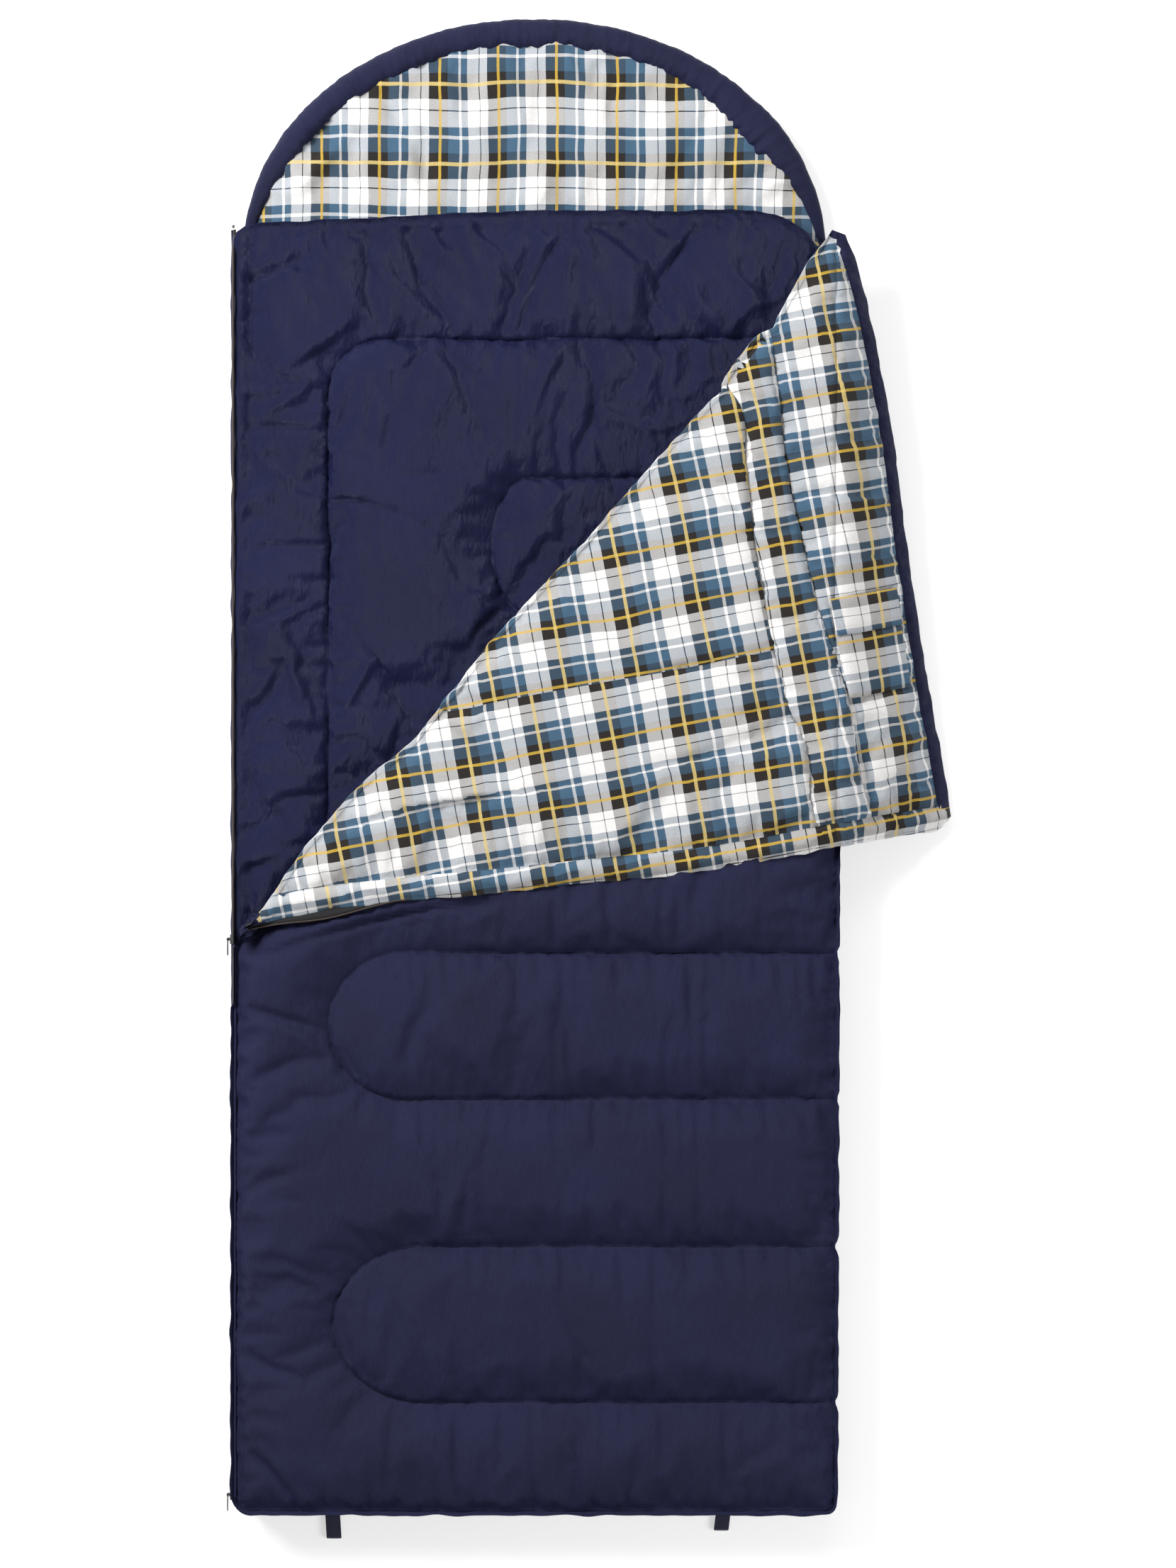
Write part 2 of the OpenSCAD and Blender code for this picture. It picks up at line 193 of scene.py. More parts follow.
# ------------ sheets of cloth
class Sheet:
    """A triangulated flat cut of cloth: its points, faces, edge, and the seams that are sewn down."""

    def __init__(self, outline, seams=(), step=STEP, cuts=(), coarse=None):
        edge = resample(outline, step, closed=True)
        points, links = [edge], [(i, (i + 1) % len(edge)) for i in range(len(edge))]
        count = len(edge)
        gap = 0.45 * step
        kept_lines = []
        for line in list(cuts) + list(seams):
            q = resample(line, step)
            good = clear_of(q, edge, gap, [(other, gap) for other in kept_lines])
            index = np.cumsum(good) - 1 + count
            links += [(index[i], index[i + 1]) for i in range(len(q) - 1) if good[i] and good[i + 1]]
            points.append(q[good])
            count += int(good.sum())
            kept_lines.append(q)
        for line in seams:
            for side in (GROOVE, -GROOVE):
                q = offset_line(resample(line, 0.8 * step), side)
                points.append(q[clear_of(q, edge, gap, [(other, 0.9 * GROOVE) for other in kept_lines])])
        lo, hi = edge.min(0), edge.max(0)
        row_step = step * 0.866
        lattice = np.array([(x, y) for j, y in enumerate(np.arange(lo[1], hi[1], row_step))
                            for x in np.arange(lo[0] + (j % 2) * step / 2, hi[0], step)])
        good = clear_of(lattice, edge, 0.6 * step,
                        [(line, 0.6 * step if k < len(cuts) else GROOVE + 0.5 * step)
                         for k, line in enumerate(kept_lines)])
        if coarse:
            row = np.round((lattice[:, 1] - lo[1]) / row_step)
            column = np.round((lattice[:, 0] - lo[0]) / step * 2)
            good &= ~coarse(lattice) | ((row % 4 == 0) & (column % 8 == 0))
        points.append(lattice[good])
        made = delaunay_2d_cdt([Vector(v) for v in np.vstack(points)],
                               [tuple(map(int, l)) for l in links], [], 1, 1e-7)
        self.flat = np.array([tuple(v) for v in made[0]])
        self.faces = [tuple(f) for f in made[2]]
        self.to_edge = distance(self.flat, edge, closed=True)
        self.seams = [np.asarray(s, float) for s in seams]
        self.to_seam = np.full(len(self.flat), 1.0)
        for s in self.seams:
            self.to_seam = np.minimum(self.to_seam, distance(self.flat, s))
        self.uv = self.flat.copy()

    def place(self, z):
        """Lays the sheet at these heights and sews down its edge and seams, which then stay put."""
        self.co = np.column_stack([self.flat, z])
        self.pin = (np.minimum(self.to_edge, self.to_seam) < 0.3 * STEP).astype(float)

    def soften(self, stiff=15, bend=0.05, spare=0.035, lift=0.1, cap=0.012):
        """How stiff the cloth is, how much spare length it has, and how far it may rise and move."""
        self.stiff, self.bend, self.spare, self.lift, self.cap = stiff, bend, spare, lift, cap
        return self


def cloth(sheets, frames=18):
    """Relaxes sheets that are a little too big for their sewn lines, so that they pucker and wrinkle."""
    made = []
    scene = bpy.context.scene
    for s in sheets:
        me = bpy.data.meshes.new("relaxing")
        me.from_pydata(s.co.tolist(), [], s.faces)
        ob = bpy.data.objects.new("relaxing", me)
        scene.collection.objects.link(ob)
        group = ob.vertex_groups.new(name="sewn")
        for i in np.nonzero(s.pin > 0)[0]:
            group.add([int(i)], float(s.pin[i]), "REPLACE")
        mod = ob.modifiers.new("Cloth", "CLOTH")
        c = mod.settings
        c.quality = 4
        c.mass = 0.15
        c.air_damping = 2.0
        c.tension_stiffness = c.compression_stiffness = s.stiff
        c.shear_stiffness = s.stiff / 3
        c.bending_stiffness = s.bend
        c.tension_damping = c.compression_damping = c.shear_damping = 5
        c.bending_damping = 0.5
        c.vertex_group_mass = "sewn"
        c.pin_stiffness = 1
        c.shrink_min = -s.spare
        c.effector_weights.gravity = s.lift
        mod.collision_settings.use_self_collision = False
        mod.collision_settings.use_collision = False
        mod.point_cache.frame_start, mod.point_cache.frame_end = 1, frames
        made.append(ob)
    # Gravity points up meanwhile, as the wadding's push does.
    scene.gravity = (0, 0, 9.81)
    scene.frame_start, scene.frame_end = 1, frames
    for f in range(1, frames + 1):
        scene.frame_set(f)
    dg = bpy.context.evaluated_depsgraph_get()
    for s, ob in zip(sheets, made):
        me = ob.evaluated_get(dg).to_mesh()
        shift = vertices_of(me) - s.co
        size = np.maximum(np.linalg.norm(shift, axis=1), 1e-9)
        s.co = s.co + shift * (np.minimum(size, s.cap) / size)[:, None]
        ob.evaluated_get(dg).to_mesh_clear()
        mesh = ob.data
        bpy.data.objects.remove(ob)
        bpy.data.meshes.remove(mesh)
    scene.frame_set(1)
    scene.gravity = (0, 0, -9.81)


def vertices_of(me):
    """A mesh's points, as rows of x, y and z."""
    got = np.empty(len(me.vertices) * 3)
    me.vertices.foreach_get("co", got)
    return got.reshape(-1, 3)


def move(ob, how):
    """Moves a mesh's points by a function of their places."""
    ob.data.vertices.foreach_set("co", how(vertices_of(ob.data)).ravel())
    ob.data.update()


def build(name, co, faces, uv, materials, face_material=None, body=None, face_shift=None):
    """A mesh object with a Panel UV map, which face_shift may move face by face."""
    me = bpy.data.meshes.new(name)
    me.from_pydata([tuple(v) for v in co], [], [tuple(int(i) for i in f) for f in faces])
    layer = me.uv_layers.new(name="Panel")
    loops = np.empty(len(me.loops), int)
    me.loops.foreach_get("vertex_index", loops)
    at_loop = np.asarray(uv, float)[loops]
    if face_shift is not None:
        at_loop = at_loop + np.repeat(face_shift, [len(f) for f in faces], axis=0)
    layer.data.foreach_set("uv", at_loop.astype(np.float32).ravel())
    for m in materials:
        me.materials.append(m)
    if face_material is not None:
        me.polygons.foreach_set("material_index", np.asarray(face_material, np.int32))
    me.polygons.foreach_set("use_smooth", np.full(len(me.polygons), True))
    me.update()
    ob = bpy.data.objects.new(name, me)
    bpy.context.scene.collection.objects.link(ob)
    if body:
        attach(ob, body)
    return ob


def border(faces):
    """The edges that only one face has, each as (from, to) in that face's direction."""
    seen = {}
    for f in faces:
        for a, b in zip(f, f[1:] + f[:1]):
            seen[(a, b)] = 1
    return [(a, b) for a, b in seen if (b, a) not in seen]


# ------------ materials
def nodes_of(name):
    mat = bpy.data.materials.new(name)
    mat.use_nodes = True
    nt = mat.node_tree
    return mat, nt, nt.nodes["Principled BSDF"]


def math_node(nt, op, a, b=None, c=None):
    n = nt.nodes.new("ShaderNodeMath")
    n.operation = op
    for socket, v in zip(n.inputs, (a, b, c)):
        if v is None:
            continue
        if isinstance(v, (int, float)):
            socket.default_value = v
        else:
            nt.links.new(v, socket)
    return n.outputs[0]


def mix(nt, factor, a, b, blend="MIX"):
    n = nt.nodes.new("ShaderNodeMix")
    n.data_type = "RGBA"
    n.blend_type = blend
    for socket, v in ((n.inputs[0], factor), (n.inputs[6], a), (n.inputs[7], b)):
        if isinstance(v, (int, float)):
            socket.default_value = v
        elif isinstance(v, tuple):
            socket.default_value = (*v, 1) if len(v) == 3 else v
        else:
            nt.links.new(v, socket)
    return n.outputs[2]


def noise_node(nt, scale, detail=3, vector=None, rough=0.5):
    n = nt.nodes.new("ShaderNodeTexNoise")
    n.inputs["Scale"].default_value = scale
    n.inputs["Detail"].default_value = detail
    n.inputs["Roughness"].default_value = rough
    if vector:
        nt.links.new(vector, n.inputs["Vector"])
    return n.outputs["Fac"]


def ramp(nt, value, stops, interpolation="LINEAR"):
    n = nt.nodes.new("ShaderNodeValToRGB")
    n.color_ramp.interpolation = interpolation
    while len(n.color_ramp.elements) < len(stops):
        n.color_ramp.elements.new(0.5)
    for e, (at, colour) in zip(n.color_ramp.elements, stops):
        e.position = at
        e.color = (*colour, 1)
    nt.links.new(value, n.inputs[0])
    return n.outputs[0]


def weave(nt, uv, pitch, twill=False):
    """Height of a plain or twill weave with the given thread pitch in metres."""
    sep = nt.nodes.new("ShaderNodeSeparateXYZ")
    nt.links.new(uv, sep.inputs[0])
    w = 2 * math.pi / pitch
    a = math_node(nt, "SINE", math_node(nt, "MULTIPLY", sep.outputs[0], w))
    b = math_node(nt, "SINE", math_node(nt, "MULTIPLY", sep.outputs[1], w))
    if twill:
        d = math_node(nt, "ADD", sep.outputs[0], sep.outputs[1])
        return math_node(nt, "SINE", math_node(nt, "MULTIPLY", d, w))
    return math_node(nt, "MULTIPLY", a, b)


def bump(nt, shader, height, strength, distance_m):
    n = nt.nodes.new("ShaderNodeBump")
    n.inputs["Strength"].default_value = strength
    n.inputs["Distance"].default_value = distance_m
    nt.links.new(height, n.inputs["Height"])
    nt.links.new(n.outputs[0], shader.inputs["Normal"])


def panel_uv(nt):
    n = nt.nodes.new("ShaderNodeUVMap")
    n.uv_map = "Panel"
    return n.outputs[0]


def stretched(nt, vector, x, y):
    n = nt.nodes.new("ShaderNodeVectorMath")
    n.operation = "MULTIPLY"
    nt.links.new(vector, n.inputs[0])
    n.inputs[1].default_value = (x, y, 1)
    return n.outputs[0]


def navy_cloth(name, dark, light, rough, gloss, wrinkle, pitch=0.0009):
    """Woven cover cloth: two tones, roughness, gloss, how deep its wrinkles are, and its thread pitch."""
    mat, nt, s = nodes_of(name)
    uv = panel_uv(nt)
    cloud = noise_node(nt, 6, 4, uv)
    fine = noise_node(nt, 700, 2, uv)
    threads = noise_node(nt, 60, 3, stretched(nt, uv, 9, 1))
    tone = ramp(nt, cloud, [(0.3, dark), (0.7, light)])
    speck = ramp(nt, fine, [(0.35, (0.84, 0.84, 0.87)), (0.65, (1.12, 1.12, 1.13))])
    streak = ramp(nt, threads, [(0.35, (0.9, 0.9, 0.92)), (0.65, (1.08, 1.08, 1.08))])
    tone = mix(nt, 1.0, tone, streak, "MULTIPLY")
    nt.links.new(mix(nt, 1.0, tone, speck, "MULTIPLY"), s.inputs["Base Color"])
    shine = ramp(nt, cloud, [(0.2, (rough - 0.04,) * 3), (0.8, (rough + 0.05,) * 3)])
    nt.links.new(shine, s.inputs["Roughness"])
    s.inputs["Sheen Weight"].default_value = 0.02
    s.inputs["Sheen Roughness"].default_value = 0.45
    s.inputs["Sheen Tint"].default_value = (0.45, 0.5, 0.85, 1)
    s.inputs["Specular IOR Level"].default_value = gloss
    rumple = noise_node(nt, 17, 4, stretched(nt, uv, 1.7, 0.8), 0.55)
    crease = math_node(nt, "ABSOLUTE", math_node(nt, "SUBTRACT", rumple, 0.5))
    height = math_node(nt, "ADD", math_node(nt, "MULTIPLY", weave(nt, uv, pitch), 0.0001),
                       math_node(nt, "MULTIPLY", crease, wrinkle))
    bump(nt, s, height, 1.0, 1.0)
    return mat


def stripes(nt, value):
    """One repeat of the check, from 0 to 1, without its yellow line, as bands that each start at a place."""
    white, black, steel = (0.9, 0.885, 0.87), (0.02, 0.016, 0.014), (0.058, 0.124, 0.2)
    return ramp(nt, value, [(0.0, black), (0.321, steel), (0.502, white), (0.545, steel), (0.655, white),
                            (0.853, black), (0.868, white)], "CONSTANT")


def between(nt, value, low, high):
    above, below = math_node(nt, "GREATER_THAN", value, low), math_node(nt, "LESS_THAN", value, high)
    return math_node(nt, "MULTIPLY", above, below)


def plaid_cloth():
    """Checked flannel: warp and weft stripes that show half each, with yellow lines over them."""
    mat, nt, s = nodes_of("plaid_flannel")
    uv = panel_uv(nt)
    sep = nt.nodes.new("ShaderNodeSeparateXYZ")
    nt.links.new(uv, sep.inputs[0])
    warp_at = math_node(nt, "FRACT", math_node(nt, "DIVIDE", sep.outputs[0], PLAID_X))
    weft_at = math_node(nt, "FRACT", math_node(nt, "DIVIDE", sep.outputs[1], PLAID_Y))
    cloth_colour = mix(nt, 0.5, stripes(nt, warp_at), stripes(nt, weft_at))
    yellow = (0.66, 0.43, 0.055)
    pale = (0.76, 0.62, 0.28)
    for at in (warp_at, weft_at):
        line = between(nt, at, 0.166, 0.213)
        tone = mix(nt, 0.5, cloth_colour, yellow)
        over = mix(nt, 0.5, tone, pale if at is weft_at else yellow)
        cloth_colour = mix(nt, line, cloth_colour, over)
    fuzz = noise_node(nt, 420, 3, uv)
    cloud = noise_node(nt, 9, 3, uv)
    shade = ramp(nt, fuzz, [(0.3, (0.9, 0.9, 0.9)), (0.7, (1.05, 1.05, 1.05))])
    grime = ramp(nt, cloud, [(0.3, (0.955, 0.955, 0.96)), (0.7, (1.0, 1.0, 1.0))])
    cloth_colour = mix(nt, 1.0, cloth_colour, shade, "MULTIPLY")
    nt.links.new(mix(nt, 1.0, cloth_colour, grime, "MULTIPLY"), s.inputs["Base Color"])
    s.inputs["Roughness"].default_value = 0.92
    s.inputs["Sheen Weight"].default_value = 0.12
    s.inputs["Sheen Roughness"].default_value = 0.6
    s.inputs["Specular IOR Level"].default_value = 0.2
    height = math_node(nt, "ADD", weave(nt, uv, 0.0012, twill=True), math_node(nt, "MULTIPLY", fuzz, 2.0))
    bump(nt, s, height, 0.3, 0.0003)
    return mat


def webbing_cloth(name, colour, pitch=0.0016):
    """Ribbed webbing or tape with the given rib pitch in metres."""
    mat, nt, s = nodes_of(name)
    geo = nt.nodes.new("ShaderNodeTexCoord")
    rib = weave(nt, geo.outputs["Object"], pitch, twill=True)
    tone = ramp(nt, rib, [(0.0, tuple(c * 0.75 for c in colour)), (1.0, tuple(c * 1.25 for c in colour))])
    nt.links.new(tone, s.inputs["Base Color"])
    s.inputs["Roughness"].default_value = 0.75
    s.inputs["Sheen Weight"].default_value = 0.15
    bump(nt, s, rib, 0.5, 0.0003)
    return mat


def metal(name):
    mat, nt, s = nodes_of(name)
    geo = nt.nodes.new("ShaderNodeTexCoord")
    wear = noise_node(nt, 260, 4, geo.outputs["Object"], 0.65)
    tone = ramp(nt, wear, [(0.35, (0.17, 0.175, 0.18)), (0.65, (0.33, 0.335, 0.34))])
    nt.links.new(tone, s.inputs["Base Color"])
    nt.links.new(ramp(nt, wear, [(0.3, (0.22,) * 3), (0.7, (0.38,) * 3)]), s.inputs["Roughness"])
    s.inputs["Metallic"].default_value = 1.0
    bump(nt, s, wear, 0.15, 0.0002)
    return mat


def plastic(name, colour):
    mat, nt, s = nodes_of(name)
    geo = nt.nodes.new("ShaderNodeTexCoord")
    spots = noise_node(nt, 700, 3, geo.outputs["Object"])
    dark = tuple(c * 0.7 for c in colour)
    nt.links.new(ramp(nt, spots, [(0.3, dark), (0.7, colour)]), s.inputs["Base Color"])
    s.inputs["Roughness"].default_value = 0.42
    bump(nt, s, spots, 0.2, 0.0002)
    return mat


NAVY = navy_cloth("navy_shell_cloth", (0.0112, 0.0128, 0.042), (0.0148, 0.0165, 0.054), 0.6, 0.18, 0.005)
SATIN = navy_cloth("navy_satin_cloth", (0.0066, 0.0086, 0.039), (0.009, 0.0118, 0.051), 0.36, 0.2,
                   0.01, 0.0007)
PLAID = plaid_cloth()
TAPE = webbing_cloth("zip_tape_cloth", (0.012, 0.012, 0.014), 0.0012)
WEB = webbing_cloth("loop_webbing", (0.024, 0.027, 0.06))
METAL = metal("plated_zinc")
COIL = plastic("nylon_coil", (0.05, 0.032, 0.022))


# ------------ camera, lights and floor
# The camera looks straight down on VIEW_X, VIEW_Y and sees VIEW_H metres of the plane at the height VIEW_Z.
VIEW_H = 2.3337
VIEW_X, VIEW_Y, VIEW_Z = 0.0802, -0.0309, 0.08
LENS, SENSOR = 100.0, 36.0
FLOOR_HALF = 12


def camera_and_stage():
    scene = bpy.context.scene
    data = bpy.data.cameras.new("camera")
    data.lens, data.sensor_width = LENS, SENSOR
    data.clip_end = 50
    cam = bpy.data.objects.new("camera", data)
    cam.location = (VIEW_X, VIEW_Y, VIEW_H * LENS / SENSOR + VIEW_Z)
    scene.collection.objects.link(cam)
    scene.camera = cam

    me = bpy.data.meshes.new("floor")
    r = FLOOR_HALF
    me.from_pydata([(-r, -r, 0), (r, -r, 0), (r, r, 0), (-r, r, 0)], [], [(0, 1, 2, 3)])
    floor = bpy.data.objects.new("floor", me)
    floor.location.z = FLOOR_Z - 0.0005
    mat, nt, s = nodes_of("pale_floor")
    s.inputs["Base Color"].default_value = (0.8, 0.8, 0.8, 1)
    s.inputs["Roughness"].default_value = 0.9
    s.inputs["Specular IOR Level"].default_value = 0.1
    s.inputs["Emission Color"].default_value = (1, 1, 1, 1)
    s.inputs["Emission Strength"].default_value = 0.5
    me.materials.append(mat)
    scene.collection.objects.link(floor)

    def area(name, place, aim, size, watts):
        light = bpy.data.lights.new(name, "AREA")
        light.shape = "RECTANGLE"
        light.size, light.size_y = size
        light.energy = watts
        ob = bpy.data.objects.new(name, light)
        ob.location = place
        ob.rotation_mode = "QUATERNION"
        ob.rotation_quaternion = (Vector(aim) - Vector(place)).to_track_quat("-Z", "Y")
        scene.collection.objects.link(ob)

    area("key", (-3.0, 2.3, 2.9), (0, 0.1, 0), (2.2, 1.5), 262)
    area("fill", (3.6, -2.0, 2.8), (0, 0, 0), (3.0, 2.0), 92)
    area("top", (0.3, 4.6, 3.4), (0, 0.2, 0), (3.0, 1.6), 60)
    world = bpy.data.worlds.new("studio")
    world.use_nodes = True
    colour, strength = world.node_tree.nodes["Background"].inputs[:2]
    colour.default_value = (1, 1, 1, 1)
    strength.default_value = 0.26
    scene.world = world
    scene.view_settings.view_transform = "Standard"


camera_and_stage()


# ------------ plain materials on the small CAD pieces
for node, ob in frame["nodes"].items():
    if node.startswith("zip_tape"):
        mat = TAPE
    elif node.startswith("zip_chain"):
        mat = COIL
    elif node.startswith(("slider", "pull", "zip_stop")):
        mat = METAL
    elif node.startswith("loop"):
        mat = WEB
    else:
        mat = NAVY
    for slot in ob.material_slots:
        slot.material = mat


# ------------ folds, dents and padding
def folds(rng, count, low, high, angle, spread, length, width, height):
    """A scatter of long shallow folds in a rectangle, which mostly run one way."""
    return [(rng.uniform(low[0], high[0]), rng.uniform(low[1], high[1]), angle + rng.normal(0, spread),
             length * rng.uniform(0.6, 1.4), width * rng.uniform(0.6, 1.5), height * rng.uniform(-1, 1))
            for _ in range(count)]


def dents(p, spots):
    """Height from folds, each one a place, a direction, a length, a width and a height."""
    z = np.zeros(len(p))
    for x, y, angle, length, width, height in spots:
        d = p[:, :2] - (x, y)
        a = math.radians(angle)
        along = d @ (math.cos(a), math.sin(a))
        across = d @ (-math.sin(a), math.cos(a))
        z += height * np.exp(-(along / length) ** 2 - (across / width) ** 2)
    return z


def pillow(sheet, low, crown, reach, dip, dip_reach, groove):
    """A padded profile: up from its edge, and down again at its sewn seams, each in a narrow groove."""
    rise = 1 - np.exp(-sheet.to_edge / reach)
    sunk = dip * np.exp(-sheet.to_seam / dip_reach) + groove * np.exp(-(sheet.to_seam / (0.7 * GROOVE)) ** 2)
    return low + crown * rise - sunk * rise


def creases(p, lines):
    """Height of long curved folds, each one a list of points, a width and a height."""
    z = np.zeros(len(p))
    for points, width, height in lines:
        line = curve_points(points)
        near = np.minimum(apart(p[:, :2], line[0]), apart(p[:, :2], line[-1]))
        z += height * np.exp(-(distance(p, line) / width) ** 2) * smooth(near / 0.05 + 0.2)
    return z


def puckers(sheet, lines, height, reach, scale, seed):
    """Small gathers that cross each sewn line and fade away from it."""
    z = np.zeros(len(sheet.flat))
    for k, line in enumerate(lines):
        line = resample(line, 0.004)
        near = np.array([np.argmin(((line - q) ** 2).sum(1)) for q in sheet.flat])
        run = run_along(line)[near]
        d = np.linalg.norm(sheet.flat - line[near], axis=1)
        side = np.sign((sheet.flat[:, 0] - line[near, 0]) * 0.3 + (sheet.flat[:, 1] - line[near, 1]))
        row = seed + 7 * k + 3 * side
        wave = np.array([noise.noise((a / scale, b, 0.0)) for a, b in zip(run, row)])
        wide = np.array([noise.noise((a / (3 * scale), b, 5.0)) for a, b in zip(run, row)])
        z += height * (wave + 0.7 * wide) * np.exp(-d / (reach * (1.2 + wide))) * smooth(d / 0.006)
    return z


def at(curve, s):
    """Height of a line through given (place, height) pairs."""
    a = np.array(curve)
    return np.interp(s, a[:, 0], a[:, 1])


def curve_points(points, step=0.01):
    """A smooth curve through a few points of the plane."""
    p = np.array(points, float)
    run = run_along(p)
    slope = np.gradient(p, run, axis=0)
    out = []
    for i in range(len(p) - 1):
        h = run[i + 1] - run[i]
        for t in np.linspace(0, 1, max(2, int(h / step) + 1))[:-1]:
            a, b = 2 * t ** 3 - 3 * t ** 2 + 1, t ** 3 - 2 * t ** 2 + t
            c, d = -2 * t ** 3 + 3 * t ** 2, t ** 3 - t ** 2
            out.append(a * p[i] + b * h * slope[i] + c * p[i + 1] + d * h * slope[i + 1])
    return np.array(out + [p[-1]])


# ------------ the front panel
FOOT_R_LEFT, FOOT_R_RIGHT = 0.024, 0.012
PANEL_FOOT = FOOT + 0.0025
SEAM_Y = (-0.283, -0.5, -0.72, -0.952)
# The visible edge of the fold wanders to the right of its axis: (distance along it, distance to the right).
FOLD_EDGE = [(0, 0), (0.09, 0.005), (0.18, -0.004), (0.3, 0.0), (0.4, 0.019), (0.6, 0.014), (0.79, 0.025),
             (0.985, 0.032), (1.075, 0.037), (1.1, 0.041), (1.112, 0.03), (1.19, 0.026), (1.215, 0.04),
             (1.25, 0.03), (1.32, 0.019), (1.4, 0.004)]


def fold_curve(shift, s0, s1):
    """The fold's visible edge between two places along it, moved to the right by shift."""
    s = np.linspace(s0, s1, 140)
    return from_fold(s, at(FOLD_EDGE, s) + shift)


def hairpin(y0, y1, left, start):
    """A seam that comes in from the right edge, turns round and goes back."""
    turn = arc((start, (y0 + y1) / 2), start - left, (y0 - y1) / 2, 90, 270, 20)
    return [(HALF_W - 0.004, y0)] + turn + [(HALF_W - 0.004, y1)]


def foot_corners():
    """The two rounded corners at the foot, from left to right."""
    a, b = FOOT_R_LEFT, FOOT_R_RIGHT
    return (arc((-HALF_W + a, PANEL_FOOT + a), a, a, 180, 270, 6)
            + arc((HALF_W - b, PANEL_FOOT + b), b, b, 270, 360, 5))


def wander(p):
    """How far a woven check has drifted out of true."""
    far = np.column_stack([ripple(p, 0.13, 40.5), ripple(p, 0.13, 41.5)])
    near = np.column_stack([ripple(p, 0.035, 42.5), ripple(p, 0.035, 43.5)])
    return 0.0045 * far + 0.0012 * near


front_cut = (foot_corners() + list(fold_curve(0.014, 0.03, 1.385)[::-1])
             + [(-HALF_W + 0.006, PIVOT[1] + 0.008), (-HALF_W, PIVOT[1] - 0.006)])
front = Sheet(front_cut, [hairpin(SEAM_Y[0], SEAM_Y[1], -0.305, -0.19),
                          hairpin(SEAM_Y[2], SEAM_Y[3], -0.299, -0.16)])
# Long folds that the pull of the slider and of the side seams leaves: points, width and height.
FRONT_CREASES = [
    ([(-0.446, -0.276), (-0.4, -0.284), (-0.336, -0.264), (-0.23, -0.235), (-0.169, -0.22), (-0.05, -0.206)],
     0.007, -0.006),
    ([(-0.44, -0.262), (-0.38, -0.262), (-0.3, -0.242), (-0.2, -0.214), (-0.1, -0.2)], 0.01, 0.004),
    ([(-0.432, -0.364), (-0.37, -0.38), (-0.308, -0.401)], 0.007, -0.005),
    ([(-0.432, -0.378), (-0.34, -0.412), (-0.3, -0.438)], 0.01, 0.003),
    ([(-0.432, -0.471), (-0.395, -0.462), (-0.345, -0.438)], 0.008, -0.0042),
    ([(-0.435, -0.64), (-0.38, -0.615), (-0.33, -0.6)], 0.008, -0.0035),
    ([(-0.43, -0.87), (-0.39, -0.9), (-0.34, -0.915)], 0.009, -0.0035),
    ([(-0.425, -1.02), (-0.385, -1.06), (-0.35, -1.11)], 0.009, -0.004),
    ([(-0.26, -0.285), (-0.33, -0.278), (-0.38, -0.29)], 0.007, -0.0025),
    ([(0.43, -0.69), (0.405, -0.655), (0.395, -0.62)], 0.007, -0.003),
    ([(0.432, -1.02), (0.412, -0.99), (0.4, -0.96)], 0.006, -0.003),
]


def shape_front():
    p = front.flat
    z = pillow(front, 0.066, 0.0205, 0.026, 0.012, 0.03, 0.0045)
    rough = smooth((p[:, 0] + 0.35) / 0.6)
    z += puckers(front, front.seams, 0.004, 0.026, 0.017, 3) * (0.5 + 0.6 * rough)
    edge_lines = [[(HALF_W, FOOT + 0.05), (HALF_W, 0.0)], [(-0.4, PANEL_FOOT), (0.4, PANEL_FOOT)],
                  [(-HALF_W, FOOT + 0.05), (-HALF_W, -0.27)]]
    z += puckers(front, edge_lines, 0.003, 0.03, 0.024, 31)
    z += dents(p, folds(RNG, 60, (-0.43, FOOT), (0.43, -0.25), 80, 35, 0.06, 0.018, 0.0022))
    z += creases(p, FRONT_CREASES)
    z += 0.001 * ripple(p, 0.05, 1.5)
    # Lower, and held in place, where the turned-back corner lies on it.
    under_flap = smooth((p[:, 1] + 0.27 - (p[:, 0] + HALF_W) * 0.16) / 0.05)
    front.place(np.minimum(z, 0.0935 - under_flap * 0.0085))
    front.pin = np.maximum(front.pin, smooth(under_flap))
    return front.soften()


# ------------ the inner quilt
QUILT_HW = HALF_W - 0.006
QUILT_SEAMS = [
    curve_points([(-0.3086, -0.18), (-0.3086, 0.1), (-0.3086, 0.5)]),
    [(x, y) for x, y in arc((-0.2186, 0.544), 0.09, 0.09, 180, 90, 8)] + [(0.36, 0.634)],
    [(0.19, 0.426), (-0.006, 0.426)] + arc((-0.006, 0.3245), 0.056, 0.1015, 90, 270, 16) + [(0.06, 0.223)],
]
QUILT_SEAMS[0] = np.vstack([QUILT_SEAMS[0], [(-0.3086, 0.536)]])
# The quilt's head edge, which sags at its left and rounds off at its right.
QUILT_HEAD = [(0.434, 0.7), (0.428, 0.744), (0.412, 0.782), (0.38, 0.808), (0.335, 0.82), (0.2, 0.8215),
              (0.06, 0.822), (-0.063, 0.8195), (-0.261, 0.81), (-0.35, 0.806), (-0.418, 0.801),
              (-0.438, 0.79), (-QUILT_HW, 0.76)]
quilt_cut = ([(-QUILT_HW, FOOT + 0.06)] + arc((-QUILT_HW + 0.03, FOOT + 0.04), 0.03, 0.03, 180, 270, 5)
             + arc((QUILT_HW - 0.03, FOOT + 0.04), 0.03, 0.03, 270, 360, 5)
             + list(curve_points(QUILT_HEAD)))


def hidden_under_front(p):
    """The quilt's points that the front panel hides."""
    return fold_coords(p)[1] > 0.11


quilt = Sheet(quilt_cut, QUILT_SEAMS, coarse=hidden_under_front)

